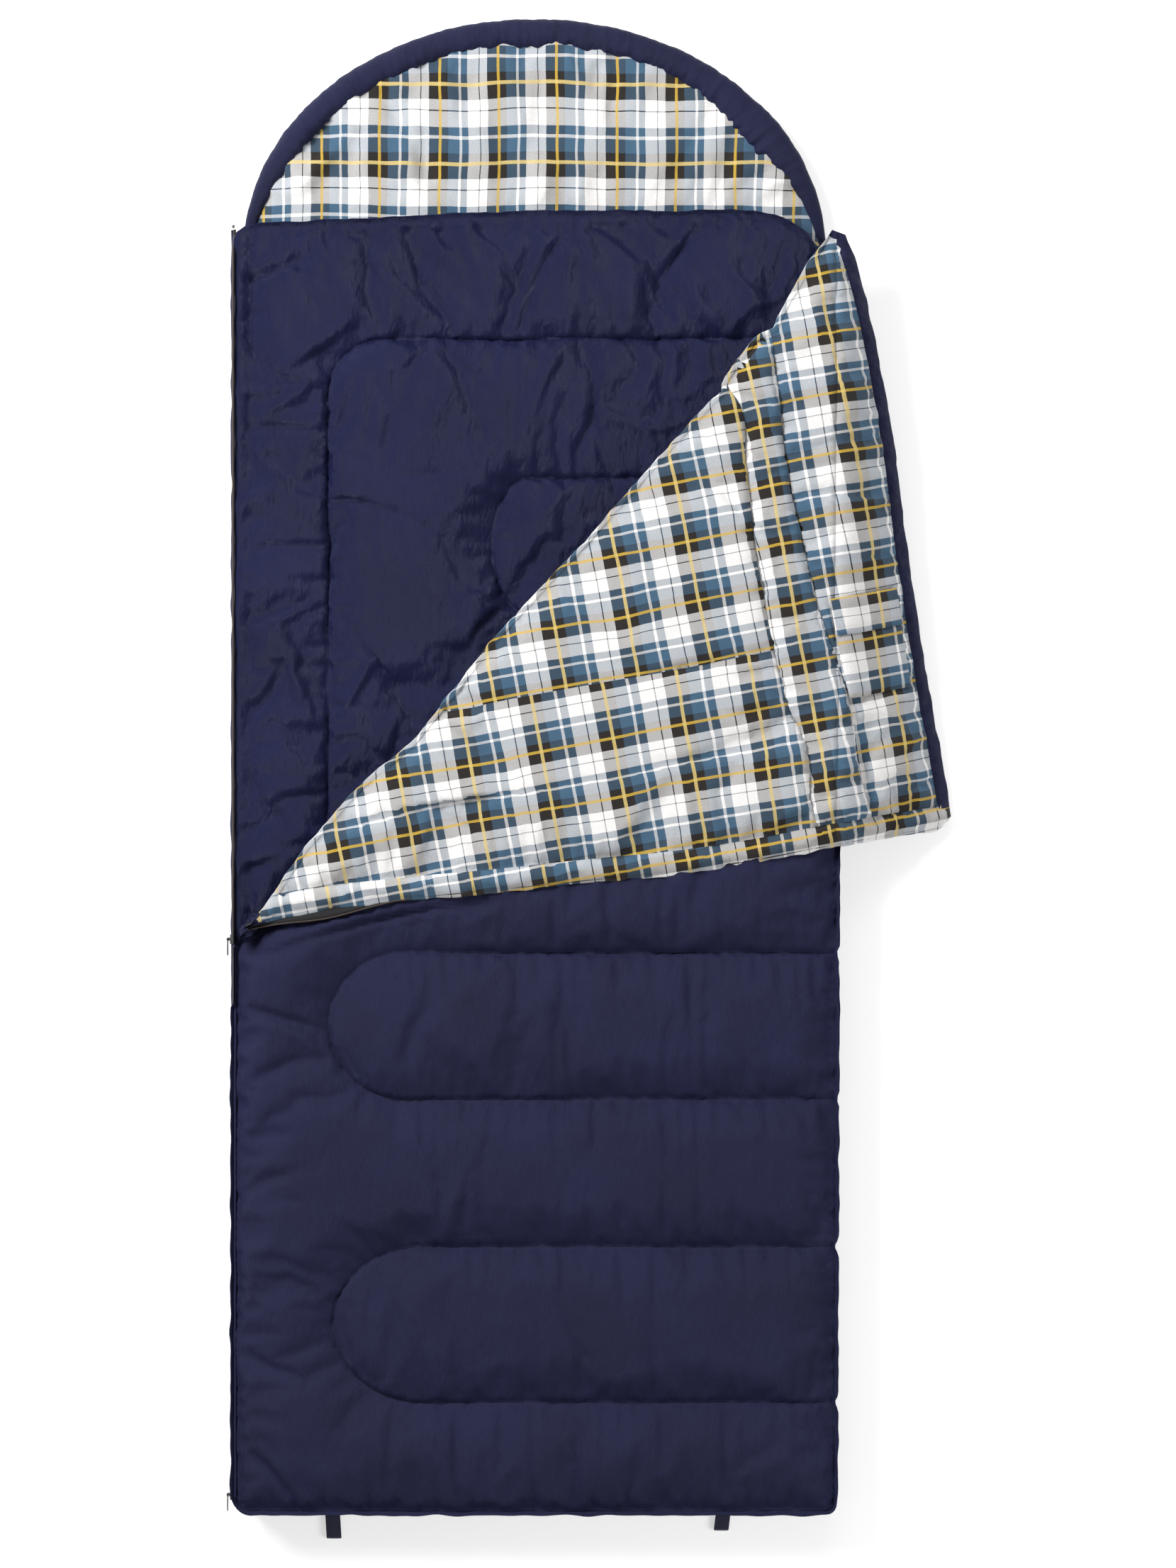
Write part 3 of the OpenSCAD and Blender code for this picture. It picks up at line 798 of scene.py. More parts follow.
# Long folds across the quilt's channels: points, width and height.
QUILT_CREASES = [
    ([(-0.363, 0.779), (-0.34, 0.71), (-0.304, 0.648)], 0.008, -0.0055),
    ([(-0.325, 0.785), (-0.29, 0.72), (-0.262, 0.69)], 0.007, 0.0035),
    ([(-0.15, 0.785), (-0.165, 0.72), (-0.12, 0.655)], 0.008, -0.005),
    ([(0.048, 0.8), (0.01, 0.735), (-0.022, 0.648)], 0.008, -0.006),
    ([(0.075, 0.795), (0.045, 0.73), (0.04, 0.68)], 0.008, 0.004),
    ([(0.246, 0.8), (0.205, 0.745), (0.171, 0.69)], 0.008, -0.0055),
    ([(0.29, 0.76), (0.33, 0.715), (0.38, 0.69)], 0.008, -0.005),
    ([(0.15, 0.66), (0.21, 0.7), (0.3, 0.7)], 0.007, -0.004),
    ([(-0.431, 0.64), (-0.395, 0.585), (-0.34, 0.56)], 0.008, -0.0045),
    ([(-0.431, 0.467), (-0.385, 0.39), (-0.33, 0.335)], 0.008, -0.0045),
    ([(-0.431, 0.25), (-0.38, 0.215), (-0.325, 0.13)], 0.008, -0.0045),
    ([(-0.431, 0.000), (-0.4, -0.06), (-0.355, -0.11)], 0.008, -0.0045),
    ([(-0.274, 0.392), (-0.155, 0.348), (-0.081, 0.243)], 0.008, -0.005),
    ([(-0.29, 0.47), (-0.2, 0.43), (-0.09, 0.44)], 0.007, -0.004),
    ([(-0.25, 0.6), (-0.215, 0.52), (-0.225, 0.43)], 0.007, -0.0042),
    ([(-0.12, 0.615), (-0.1, 0.54), (-0.06, 0.47)], 0.008, -0.005),
    ([(-0.29, 0.22), (-0.22, 0.13), (-0.18, 0.07)], 0.008, -0.004),
    ([(-0.16, 0.3), (-0.11, 0.2), (-0.09, 0.13)], 0.008, -0.0045),
    ([(0.08, 0.615), (0.09, 0.54), (0.06, 0.45)], 0.007, -0.0042),
    ([(0.2, 0.615), (0.19, 0.56), (0.215, 0.52)], 0.007, -0.0042),
]


def shape_quilt():
    p = quilt.flat
    side, across = p[:, 0], fold_coords(p)[1]
    z = pillow(quilt, 0.044, 0.0175, 0.02, 0.009, 0.022, 0.0038)
    z += puckers(quilt, quilt.seams, 0.004, 0.03, 0.017, 11)
    top = curve_points(QUILT_HEAD[3:-2])
    left = [(-QUILT_HW, -0.24), (-QUILT_HW, 0.77)]
    z += puckers(quilt, [top, left], 0.004, 0.028, 0.018, 51)
    z += dents(p, folds(RNG, 70, (-0.4, -0.15), (0.35, 0.78), 95, 28, 0.07, 0.011, 0.0042))
    z += dents(p, folds(RNG, 40, (-0.42, -0.25), (0.3, 0.6), -45, 16, 0.06, 0.01, 0.0038))
    own = np.random.default_rng(61)
    head = dents(p, folds(own, 46, (-0.4, 0.655), (0.42, 0.805), 122, 24, 0.06, 0.0085, 0.0068))
    z += head * smooth(quilt.to_edge / 0.025)
    z += dents(p, folds(own, 26, (-0.435, -0.2), (-0.325, 0.66), 30, 26, 0.05, 0.0095, 0.005))
    z += dents(p, folds(own, 34, (-0.3, 0.1), (0.25, 0.61), 75, 24, 0.055, 0.008, 0.0034))
    z += 0.85 * creases(p, QUILT_CREASES)
    z += 0.0016 * ripple(p, 0.045, 4.5, (1.5, 1))
    # A raised left edge, and only the part that shows is free to relax.
    open_part = smooth((0.03 - across) / 0.05)
    z += 0.012 * smooth((-0.424 - side) / 0.018) * open_part
    quilt.place(np.minimum(z, 0.0595 + 0.0055 * open_part))
    quilt.pin = np.maximum(quilt.pin, 1 - open_part)
    return quilt.soften(bend=0.02, spare=0.05, lift=0.05, cap=0.01)


# ------------ the turned-back corner
# Its edges as they lie flat: the zip edge from the fold's foot, and the mouth edge back up to its head.
ZIP_EDGE = [(-0.428, -0.243), (-0.36, -0.221), (-0.215, -0.201), (-0.064, -0.187), (0.0775, -0.172),
            (0.236, -0.156), (0.332, -0.141), (0.44, -0.12), (0.53, -0.106), (0.62, -0.094)]
MOUTH_EDGE = [(0.638, -0.078), (0.628, -0.02), (0.597, 0.13), (0.568, 0.287), (0.541, 0.466), (0.508, 0.63),
              (0.48, 0.73), (0.462, 0.785)]
HEM_W = 0.029
ROOT_X = HALF_W + 0.002
BINDING = 0.016
zip_edge = curve_points(ZIP_EDGE)
mouth_edge = curve_points(MOUTH_EDGE)
flap_cut = list(zip_edge) + list(mouth_edge) + list(fold_curve(0.0, 0.012, 1.385)[::-1])


def closed_line(points):
    """A line on the turned-back corner, from its points on the closed bag."""
    return mirrored(np.array(points, float))


# The draught tube's two sides as they lie.
TUBE_LOW = [(0.287, 0.56), (0.303, 0.538), (0.3156, 0.441), (0.333, 0.288), (0.3495, 0.195), (0.374, 0.09),
            (0.4035, 0.021), (0.4134, -0.068), (0.421, -0.096)]
TUBE_HIGH = [(0.352, 0.64), (0.3625, 0.56), (0.3749, 0.449), (0.3962, 0.343), (0.4215, 0.237),
             (0.4678, 0.09), (0.4825, 0.002), (0.5023, -0.068), (0.509, -0.083)]
JOIN_X = -0.165
tube_low = curve_points(TUBE_LOW)
tube_high = curve_points(TUBE_HIGH)
tube_outline = np.vstack([tube_low, tube_high[::-1]])
hem_seam = offset_line(zip_edge, HEM_W)
binding_seam = offset_line(mouth_edge, BINDING)
join_seam = closed_line([(JOIN_X, y) for y in np.linspace(0.09, 0.59, 40)])
quilt_line = closed_line([(-0.305, y) for y in np.linspace(-0.075, 0.595, 50)])
flap = Sheet(flap_cut, [hem_seam, binding_seam, tube_low, tube_high],
             cuts=[[(ROOT_X, -0.2), (ROOT_X, 0.85)], join_seam])
# Long folds of the lining as it lies: points, width and height.
FLAP_CREASES = [
    ([(-0.12, 0.008), (-0.051, -0.001), (0.004, -0.036)], 0.008, -0.0035),
    ([(0.251, 0.102), (0.275, 0.078), (0.364, 0.08)], 0.007, -0.004),
    ([(0.078, -0.117), (0.157, -0.112), (0.226, -0.127)], 0.008, -0.003),
    ([(0.098, 0.004), (0.226, 0.009), (0.285, 0.019)], 0.008, -0.003),
    ([(-0.22, -0.095), (-0.15, -0.085), (-0.06, -0.11)], 0.008, -0.003),
    ([(-0.33, -0.175), (-0.24, -0.12), (-0.18, -0.045)], 0.01, 0.003),
    ([(0.05, 0.16), (0.12, 0.15), (0.19, 0.165)], 0.009, -0.0025),
]


def cloth_shift(centre):
    closed = mirrored(centre)
    shift = np.zeros((len(centre), 2))
    in_tube = inside(centre, tube_outline)
    right_of_tube = distance(centre, tube_high) < distance(centre, tube_low)
    shift[(closed[:, 0] > JOIN_X) & ~in_tube & ~right_of_tube] = (0, PLAID_Y / 2)
    shift[in_tube] = (0.031, 0.022)
    shift[distance(centre, zip_edge) < HEM_W - 0.0005] = (0.02, 0.03)
    return shift


def shape_flap():
    p = flap.flat
    z = pillow(flap, 0.095, 0.0105, 0.022, 0.007, 0.018, 0.0045)
    for line in (join_seam, quilt_line):
        z -= 0.0056 * np.exp(-(distance(p, line) / 0.008) ** 2)
    low, high = distance(p, tube_low), distance(p, tube_high)
    bulge = 4 * low * high / np.maximum(low + high, 1e-6) ** 2
    z += np.where(inside(p, tube_outline), 0.005 * np.sqrt(bulge) * smooth(flap.to_edge / 0.03), 0)
    z += puckers(flap, [hem_seam, tube_low, tube_high, binding_seam], 0.0058, 0.032, 0.022, 77)
    z += puckers(flap, [fold_curve(0.0, 0.02, 1.38)], 0.0045, 0.045, 0.028, 91)
    z += dents(p, folds(RNG, 80, (-0.35, -0.2), (0.6, 0.7), 10, 40, 0.05, 0.011, 0.0042))
    z += dents(p, folds(RNG, 24, (0.25, -0.12), (0.6, 0.3), 10, 14, 0.09, 0.013, 0.0056))
    z += creases(p, FLAP_CREASES)
    z += 0.0012 * ripple(p, 0.06, 8.5)
    # The hem beside the zip is a padded roll.
    to_zip = distance(p, zip_edge)
    roll = np.sqrt(np.clip(1 - (2 * to_zip / HEM_W - 1) ** 2, 0, 1))
    z = np.where(to_zip < HEM_W - 0.0005, 0.0945 + 0.0078 * roll + 0.0012 * ripple(p, 0.03, 2.5), z)
    flap.place(np.clip(z, 0.0915, 0.1095))
    return flap.soften(bend=0.04, spare=0.05, lift=0.05, cap=0.007)


# ------------ the back panel and the hood
def hood_line(a, b, a0, a1):
    return arc((0, HOOD_CENTRE_Y), a, b, a0, a1, 60)


back_cut = (foot_corners() + [(HALF_W, 0.74)] + hood_line(HOOD_A - 0.004, HOOD_B - 0.006, 0, 180)[2:-2]
            + [(-HALF_W, 0.74)])


def under_quilt(p):
    return p[:, 1] < 0.74


back = Sheet(back_cut, coarse=under_quilt)
HOOD_ROW_Y, HOOD_CHECK_Y, HOOD_CHECK_SCALE = 0.894, 0.8705, 0.906


def shape_back():
    p = back.flat
    z = 0.012 + 0.017 * (1 - np.exp(-back.to_edge / 0.016))
    hood = smooth((p[:, 1] - 0.825) / 0.05)
    z += hood * (0.001 + dents(p, folds(RNG, 30, (-0.36, 0.8), (0.36, 1.06), 90, 30, 0.07, 0.013, 0.0085)))
    gathered = hood_line(HOOD_A - RIM_SIDE_W - 0.012, HOOD_B - RIM_W - 0.012, 4, 176)
    z += hood * puckers(back, [gathered], 0.0085, 0.04, 0.024, 131)
    check_y = HOOD_CHECK_Y + HOOD_CHECK_SCALE * (p[:, 1] - HOOD_ROW_Y)
    back.uv = np.column_stack([p[:, 0] - 0.018, check_y]) + wander(p)
    back.place(np.where(p[:, 1] < 0.8, np.minimum(z, 0.0285), z))
    back.pin = np.maximum(back.pin, 1 - hood)
    return back.soften(bend=0.1, spare=0.02, lift=0.02, cap=0.005)


SHEETS = [shape_front(), shape_quilt(), shape_flap(), shape_back()]
cloth(SHEETS)


# ------------ padded pieces from the relaxed sheets
def rim_of(faces):
    """The points on the outline of some faces, in the order of their numbers."""
    return sorted({i for e in border(faces) for i in e})


def outward(flat, edge, rim):
    """Each rim point's outward direction in the plane."""
    place = {v: k for k, v in enumerate(rim)}
    normal = np.zeros((len(rim), 2))
    for a, b in edge:
        d = flat[b] - flat[a]
        out = np.array([d[1], -d[0]]) / max(np.hypot(*d), 1e-9)
        normal[place[a]] += out
        normal[place[b]] += out
    return normal / np.maximum(np.linalg.norm(normal, axis=1), 1e-9)[:, None]


def pattern_outward(uv, flat, rim, normal):
    """Outward on the cloth's pattern, which is mirrored unless it lies as the flat cut does."""
    if np.allclose(uv[rim], flat[rim]):
        return normal
    return mirrored(PIVOT[:2] + normal) - PIVOT[:2]


def centres(flat, faces):
    """The middle of each face in the plane."""
    return np.array([flat[list(f)].mean(0) for f in faces])


def closed_pad(name, flat, top, faces, uv, rings, under_z, inset, materials, top_kind, under_kind, body=None,
               shift_of=None, shell_rim=None):
    """A closed piece: a top, rings of (outward shift, height, material) round its rim, and an underside.

    Shifts, heights and the underside's inset are single numbers or one per rim point. shift_of gives the
    pattern's shift at points of the plane, and shell_rim says which rim points are in the second material
    all the way down."""
    edge, rim = border(faces), rim_of(faces)
    normal = outward(flat, edge, rim)
    bottom = np.column_stack([flat, np.broadcast_to(under_z, len(flat))])
    bottom[rim, :2] += normal * np.broadcast_to(inset, len(rim))[:, None]
    co, all_faces, kind, uvs = [top], list(faces), list(top_kind), [uv]
    place = {v: k for k, v in enumerate(rim)}
    shifts = None
    if shift_of:
        beside = np.array([(flat[a] + flat[b]) / 2 - 0.002 * normal[place[a]] for a, b in edge])
        shifts = np.vstack([shift_of(centres(flat, faces))] + [shift_of(beside)] * (len(rings) + 1)
                           + [np.zeros((len(faces), 2))])
    shell = [shell_rim is not None and shell_rim[place[a]] and shell_rim[place[b]] for a, b in edge]
    last, base = list(rim), len(flat)
    run = np.zeros(len(rim))
    pattern_normal = pattern_outward(uv, flat, rim, normal)
    for out, z, mat in rings:
        ring = np.column_stack([top[rim][:, :2] + normal * np.broadcast_to(out, len(rim))[:, None],
                                np.broadcast_to(z, len(rim))])
        run = run + np.linalg.norm(ring - co[-1][rim if len(co) == 1 else slice(None)], axis=1)
        co.append(ring)
        uvs.append(uv[rim] + pattern_normal * run[:, None])
        new = list(range(base, base + len(rim)))
        a_of, b_of = dict(zip(rim, last)), dict(zip(rim, new))
        for (a, b), dark in zip(edge, shell):
            all_faces.append((a_of[b], a_of[a], b_of[a], b_of[b]))
            kind.append(1 if dark else mat)
        last, base = new, base + len(rim)
    co.append(bottom)
    uvs.append(uv)
    a_of = dict(zip(rim, last))
    all_faces += [(a_of[b], a_of[a], base + a, base + b) for a, b in edge]
    kind += [rings[-1][2]] * len(edge)
    all_faces += [tuple(base + i for i in reversed(f)) for f in faces]
    kind += [under_kind] * len(faces)
    return build(name, np.vstack(co), all_faces, np.vstack(uvs), materials, kind, body, shifts)


def at_pocket(closed):
    """1 beneath the pocket and its flap, and 0 away from them, at points on the closed bag."""
    return smooth((0.115 - np.abs(closed - (POCKET_X - 0.016, POCKET_Y - POCKET_SIDE / 2)).max(1)) / 0.03)


def build_front():
    rim = rim_of(front.faces)
    pts = front.flat[rim]
    fold_side = fold_coords(pts)[1] < 0.06
    wob = 0.0032 * ripple(pts, 0.032, 2.0)
    for y in SEAM_Y:
        wob -= 0.005 * np.exp(-((pts[:, 1] - y) / 0.007) ** 2) * (pts[:, 0] > HALF_W - 0.01)
    z_top = front.co[rim][:, 2]
    # Each ring: how far out and how high, how far out and how high at the fold, and its material.
    steps = [(0.004, z_top * 0.5 + 0.04, 0.0, 0.08, 0), (0.0055, 0.076, 0.0, 0.074, 0),
             (0.004, 0.07, 0.0, 0.068, 0), (0.001, 0.0655, 0.0, 0.064, 0), (-0.003, 0.063, -0.003, 0.063, 0)]
    rings = [(np.where(fold_side, fold_out, out + wob * (out > 0)), np.where(fold_side, fold_z, z), mat)
             for out, z, fold_out, fold_z, mat in steps]
    ob = closed_pad("front_panel", front.flat, front.co, front.faces, front.uv, rings, FRONT_UNDER, -0.006,
                    [NAVY, PLAID], [0] * len(front.faces), 1, "bag")
    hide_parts("front_shell", "front_filling", "front_lining")


def build_quilt():
    # Thinner where the turned-back corner's overhang lies on it once the bag is closed.
    past_root = mirrored(quilt.flat)[:, 0] - ROOT_X
    beneath = smooth((past_root + 0.11) / 0.12) * smooth((quilt.to_edge - 0.004) / 0.02)
    quilt.co[:, 2] -= (0.0105 + 0.0045 * at_pocket(quilt.flat)) * beneath
    rim = rim_of(quilt.faces)
    pts = quilt.flat[rim]
    wob = 0.003 * ripple(pts, 0.022, 3.0)
    left = smooth((-0.42 - pts[:, 0]) / 0.01) * 0.0035
    z_top = quilt.co[rim][:, 2]
    rings = [(0.0035 + wob + left, z_top * 0.5 + 0.0275, 0), (0.005 + wob + left, 0.05, 0),
             (0.0045 + wob + left, 0.044, 0), (0.002, 0.039, 1), (-0.003, 0.0372, 1)]
    ob = closed_pad("inner_quilt", quilt.flat, quilt.co, quilt.faces, quilt.uv, rings, QUILT_UNDER, -0.006,
                    [SATIN, PLAID], [0] * len(quilt.faces), 1)
    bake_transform(ob)
    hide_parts("quilt_shell", "quilt_filling", "quilt_lining",
                "quilt_corner_shell", "quilt_corner_filling", "quilt_corner_lining")


def droop(co):
    """Hangs the overhang: the part past the bag's edge turns down about that edge, little by little."""
    out = co.copy()
    x_at = co[:, 0].copy()
    for _ in range(30):
        turn = DROOP * smooth((x_at - HANG[0]) / HANG_RUN)
        dx, dz = co[:, 0] - HANG[0], co[:, 2] - HANG[2]
        x_at = HANG[0] + dx * np.cos(turn) + dz * np.sin(turn)
    out[:, 0] = x_at
    out[:, 2] = HANG[2] - dx * np.sin(turn) + dz * np.cos(turn)
    return out


def build_flap():
    """The turned-back corner, as the part that lies on the bag and the overhang past the bag's edge."""
    closed = mirrored(flap.flat)
    uneven = 0.5 + 0.5 * ripple(closed, 0.05, 6.0)
    under = FLAP_UNDER + 0.0042 * (1 - np.exp(-np.minimum(flap.to_edge, 1) / 0.03)) * uneven
    centre = centres(flap.flat, flap.faces)
    navy = (distance(centre, mouth_edge) < BINDING - 0.0005) & (centre[:, 0] > ROOT_X - 0.02)
    navy &= distance(centre, zip_edge) > HEM_W - 0.0005
    navy |= (apart(centre, FOOT_POINT) < 0.03) | (apart(centre, HEAD_POINT) < 0.014)
    flap.co[:, 2] = np.minimum(flap.co[:, 2], 0.11 - 0.0052 * at_pocket(closed))
    for name, keep in (("turned_corner", centre[:, 0] < ROOT_X), ("corner_overhang", centre[:, 0] > ROOT_X)):
        used = sorted({i for f, k in zip(flap.faces, keep) if k for i in f})
        index = {v: k for k, v in enumerate(used)}
        faces = [tuple(index[i] for i in f) for f, k in zip(flap.faces, keep) if k]
        kinds = [int(n) for n, k in zip(navy, keep) if k]
        flat, top = flap.flat[used], flap.co[used]
        rim = rim_of(faces)
        pts = flat[rim]
        at_fold = smooth((0.02 - distance(pts, fold_curve(0.0, 0.03, 1.37))) / 0.016)
        at_root = np.abs(pts[:, 0] - ROOT_X) < 1e-5
        wob = 0.0035 * ripple(pts, 0.026, 9.0) * (1 - at_root)
        to_foot, to_head = apart(pts, FOOT_POINT), apart(pts, HEAD_POINT)
        slim = smooth(np.minimum(to_foot, to_head) / 0.07)
        z_top = top[rim][:, 2]
        # Each ring: how far out and how far down, how far out and how high at the fold, and its material.
        steps = [(0.006, 0.2, 0.005, 0.1005, 0), (0.01, 0.4, 0.007, 0.0945, 0),
                 (0.011, 0.6, 0.0075, 0.0879, 0), (0.01, 0.75, 0.0075, 0.0855, 1),
                 (0.008, 0.8, 0.007, 0.077, 0), (0.004, 0.85, 0.003, 0.068, 0),
                 (0.002, 0.88, -0.003, 0.0632, 0), (0.000, 0.9, -0.009, 0.067, 1),
                 (-0.001, 0.93, -0.01, 0.0855, 1), (-0.002, 0.97, -0.01, 0.0879, 1)]
        rings = []
        for out, t, fold_out, fold_z, mat in steps:
            shift = ((1 - at_fold) * np.where(at_root, 0, out * 0.6 + wob)
                     + at_fold * (fold_out + wob * (fold_out > 0)))
            shift = np.where(shift > 0, shift * slim, shift)
            z = (1 - at_fold) * (z_top - (z_top - 0.0892) * t) + at_fold * fold_z
            rings.append((shift, z, mat))
        shell_rim = (distance(pts, mouth_edge) < 0.001) & (pts[:, 0] > ROOT_X - 0.02)
        shell_rim &= distance(pts, zip_edge) > HEM_W - 0.004
        shell_rim |= (to_foot < 0.05) | (to_head < 0.02)
        ob = closed_pad(name, flat, top, faces, closed[used], rings, under[used], -0.01 * at_fold,
                        [PLAID, NAVY], kinds, 1, shift_of=cloth_shift, shell_rim=shell_rim)
        if name == "turned_corner":
            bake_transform(ob)
            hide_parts("flap_shell", "flap_filling", "flap_lining", "flap_hem", "draught_tube")
        else:
            move(ob, droop)
            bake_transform(ob)
            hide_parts("corner_shell", "corner_filling", "corner_lining", "corner_hem", "corner_tube")


def build_back():
    wob = 0.003 * ripple(back.flat[rim_of(back.faces)], 0.028, 5.0)
    rings = [(0.003 + wob * 0.5, 0.0115, 1), (0.002 + wob * 0.5, 0.007, 1), (-0.001, 0.003, 1),
             (-0.006, 0.0006, 1)]
    kinds = (distance(centres(back.flat, back.faces), back_cut, closed=True) < 0.01).astype(int)
    ob = closed_pad("back_panel", back.flat, back.co, back.faces, back.uv, rings, 0.0, -0.016, [PLAID, NAVY],
                    kinds, 1)
    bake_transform(ob)
    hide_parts("back_shell", "back_filling", "back_lining", "hood_shell", "hood_filling", "hood_lining")


build_front()
build_quilt()
build_flap()
build_back()


# ------------ swept pieces: rim, walls, tapes, coils and straps
def sweep(name, rings, materials, body=None, kinds=None):
    """A closed tube through rings of points, with its ends filled. kinds gives the material of each side."""
    rings = np.asarray(rings, float)
    n, m = rings.shape[:2]
    kinds = kinds or [0] * m
    faces = [(i * m + j, i * m + (j + 1) % m, (i + 1) * m + (j + 1) % m, (i + 1) * m + j)
             for i in range(n - 1) for j in range(m)]
    faces += [tuple(reversed(range(m))), tuple((n - 1) * m + j for j in range(m))]
    around = run_along(rings[n // 2])
    uv = np.stack(np.meshgrid(run_along(rings.mean(1)), around, indexing="ij"), -1).reshape(-1, 2)
    return build(name, rings.reshape(-1, 3), faces, uv, materials, kinds * (n - 1) + [kinds[0]] * 2, body)


def path_frame(line):
    """Distance along a plane line, and its right side's direction at every point."""
    t = np.gradient(line, axis=0)
    t /= np.linalg.norm(t, axis=1)[:, None]
    return run_along(line), np.column_stack([t[:, 1], -t[:, 0]])


def noise_grid(run, m, scale, seed, around):
    """Noise along and round a tube with m sides."""
    turns = [2 * math.pi * j / m for j in range(m)]
    return np.array([[noise.noise((r / scale, around * math.cos(a), seed + around * math.sin(a)))
                      for a in turns] for r in run])


RIM_FROM = 3.0
RIM_SIDES = 26


def build_rim():
    """The hood's gathered edge: a soft tube that thins out towards its two ends."""
    m = RIM_SIDES
    angle = np.linspace(RIM_FROM, 180 - RIM_FROM, 420)
    a = np.radians(angle)
    outer = np.column_stack([HOOD_A * np.cos(a), HOOD_CENTRE_Y + HOOD_B * np.sin(a)])
    run, out = path_frame(outer)
    # A little wider again on its right shoulder.
    shoulder = 0.016 * np.exp(-((angle - 36) / 15) ** 2)
    full = 0.5 * (RIM_SIDE_W + (RIM_W - RIM_SIDE_W) * np.sin(a) ** 2 + shoulder)
    taper = np.clip(np.minimum(run, run[-1] - run) / 0.16, 0, 1)
    half = full * (0.3 + 0.7 * taper ** 0.7)
    high = 0.0185 * (0.45 + 0.55 * taper ** 0.5)
    coarse_gather = noise_grid(run, m, 0.03, 21, 0.8)
    fine_gather = noise_grid(run, m, 0.0095, 23, 0.7)
    rings = []
    for i in range(len(a)):
        ring = []
        for j in range(m):
            f = 2 * math.pi * j / m
            c, s = math.cos(f), math.sin(f)
            inner = max(0, -c)
            swell = 1 + 0.07 * coarse_gather[i, j] + (0.05 + 0.19 * inner) * fine_gather[i, j] * taper[i]
            u = half[i] * np.sign(c) * abs(c) ** 0.85 * swell - half[i]
            v = 0.0215 * (0.6 + 0.4 * taper[i]) + high[i] * np.sign(s) * abs(s) ** 0.8 * swell
            ring.append((*(outer[i] + out[i] * u), max(v, 0.001)))
        rings.append(ring)
    ob = sweep("hood_rim_gathered", rings, [NAVY])
    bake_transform(ob)
    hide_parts("hood_rim", "rim_elastic")


# The sewn wall's cross-section: height and how far it bulges, with the seam between its two bulges.
WALL = [(0.003, 0.000), (0.01, 0.0026), (0.02, 0.0036), (0.032, 0.004), (0.043, 0.0036), (0.052, 0.0026),
        (0.0565, 0.0012), (0.058, 0.0004), (0.0595, 0.001), (0.063, 0.0016), (0.0665, -0.001)]
WALL_SEAM_Z, WALL_THICK = 0.058, 0.0035


def build_side_wall():
    """The sewn edge down the right side and across the foot: two soft bulges with a seam between them."""
    a, b = FOOT_R_LEFT, FOOT_R_RIGHT
    line = resample([(HALF_W, 0.7475), (HALF_W, PANEL_FOOT + b)]
                    + arc((HALF_W - b, PANEL_FOOT + b), b, b, 0, -90, 6)
                    + arc((-HALF_W + a, PANEL_FOOT + a), a, a, 270, 190, 8), 0.006)
    run, inward = path_frame(line)
    rings = []
    for at_point, side, r in zip(line, -inward, run):
        lift = 0.003 * noise.noise((r / 0.2, 3.0, 0.0))
        outer, inner = [], []
        for z, bulge in WALL:
            gather = (noise.noise((r / 0.011, z / 0.025, 7.0)) * 0.0016
                      + noise.noise((r / 0.05, z / 0.03, 9.0)) * 0.0016)
            d = bulge + gather * smooth(abs(z - WALL_SEAM_Z) / 0.006) + 0.0002
            height = z + lift * (1 - abs(z - 0.045) / 0.05)
            outer.append((*(at_point + side * d), height))
            inner.append((*(at_point + side * (d - WALL_THICK)), height))
        rings.append(outer + inner[::-1])
    ob = sweep("side_and_foot_wall", rings, [NAVY], "bag")
    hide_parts("side_seam", "foot_seam")


def sinking(run, sink):
    """How far a strip sinks towards its head end, along its length."""
    return sink * smooth(1 - (run[-1] - run) / 0.04)


def strip(name, y0, y1, profile, wave, kinds, seed, sink=0.0):
    """A thin strip down the bag's left side, whose cross-section is a list of (outward, height) points."""
    line = resample([(-HALF_W, y0), (-HALF_W, y1)], 0.006)
    run, right = path_frame(line)
    low = sinking(run, sink)
    thick = 0.001
    rings = []
    for i in range(len(line)):
        front_side, back_side = [], []
        for k, (d, z) in enumerate(profile):
            z = z - low[i] * smooth((z - 0.03) / 0.02)
            w = wave * noise.noise((run[i] / 0.03, k * 0.35, seed))
            front_side.append((*(line[i] + right[i] * (w - d)), z))
            back_side.append((*(line[i] + right[i] * (w - d + thick)), z))
        rings.append(front_side + back_side[::-1])
    return sweep(name, rings, [NAVY, TAPE], "bag", kinds + [kinds[-1]] + kinds[::-1] + [kinds[0]])


COIL_R, COIL_PITCH, COIL_SIDES = 0.00125, 0.0026, 7


def coil(name, line, z, body, lean=1.0, sink=0.0):
    """A spiral of nylon, as a tube with slanting ridges. z is one height, or several spread along it."""
    line = resample(line, COIL_PITCH / (5))
    run, out = path_frame(line)
    z = np.interp(np.linspace(0, 1, len(line)), np.linspace(0, 1, np.size(z)), np.atleast_1d(z))
    low = sinking(run, sink)
    rings = []
    for i in range(len(line)):
        ring = []
        for j in range(COIL_SIDES):
            f = 2 * math.pi * j / COIL_SIDES
            ridge = 1 + 0.3 * math.sin(2 * math.pi * run[i] / COIL_PITCH + lean * f)
            u, v = COIL_R * math.cos(f) * ridge, COIL_R * math.sin(f) * ridge
            ring.append((*(line[i] + out[i] * u), z[i] + v - low[i]))
        rings.append(ring)
    return sweep(name, rings, [COIL], body)


HEAD_SINK = 0.018


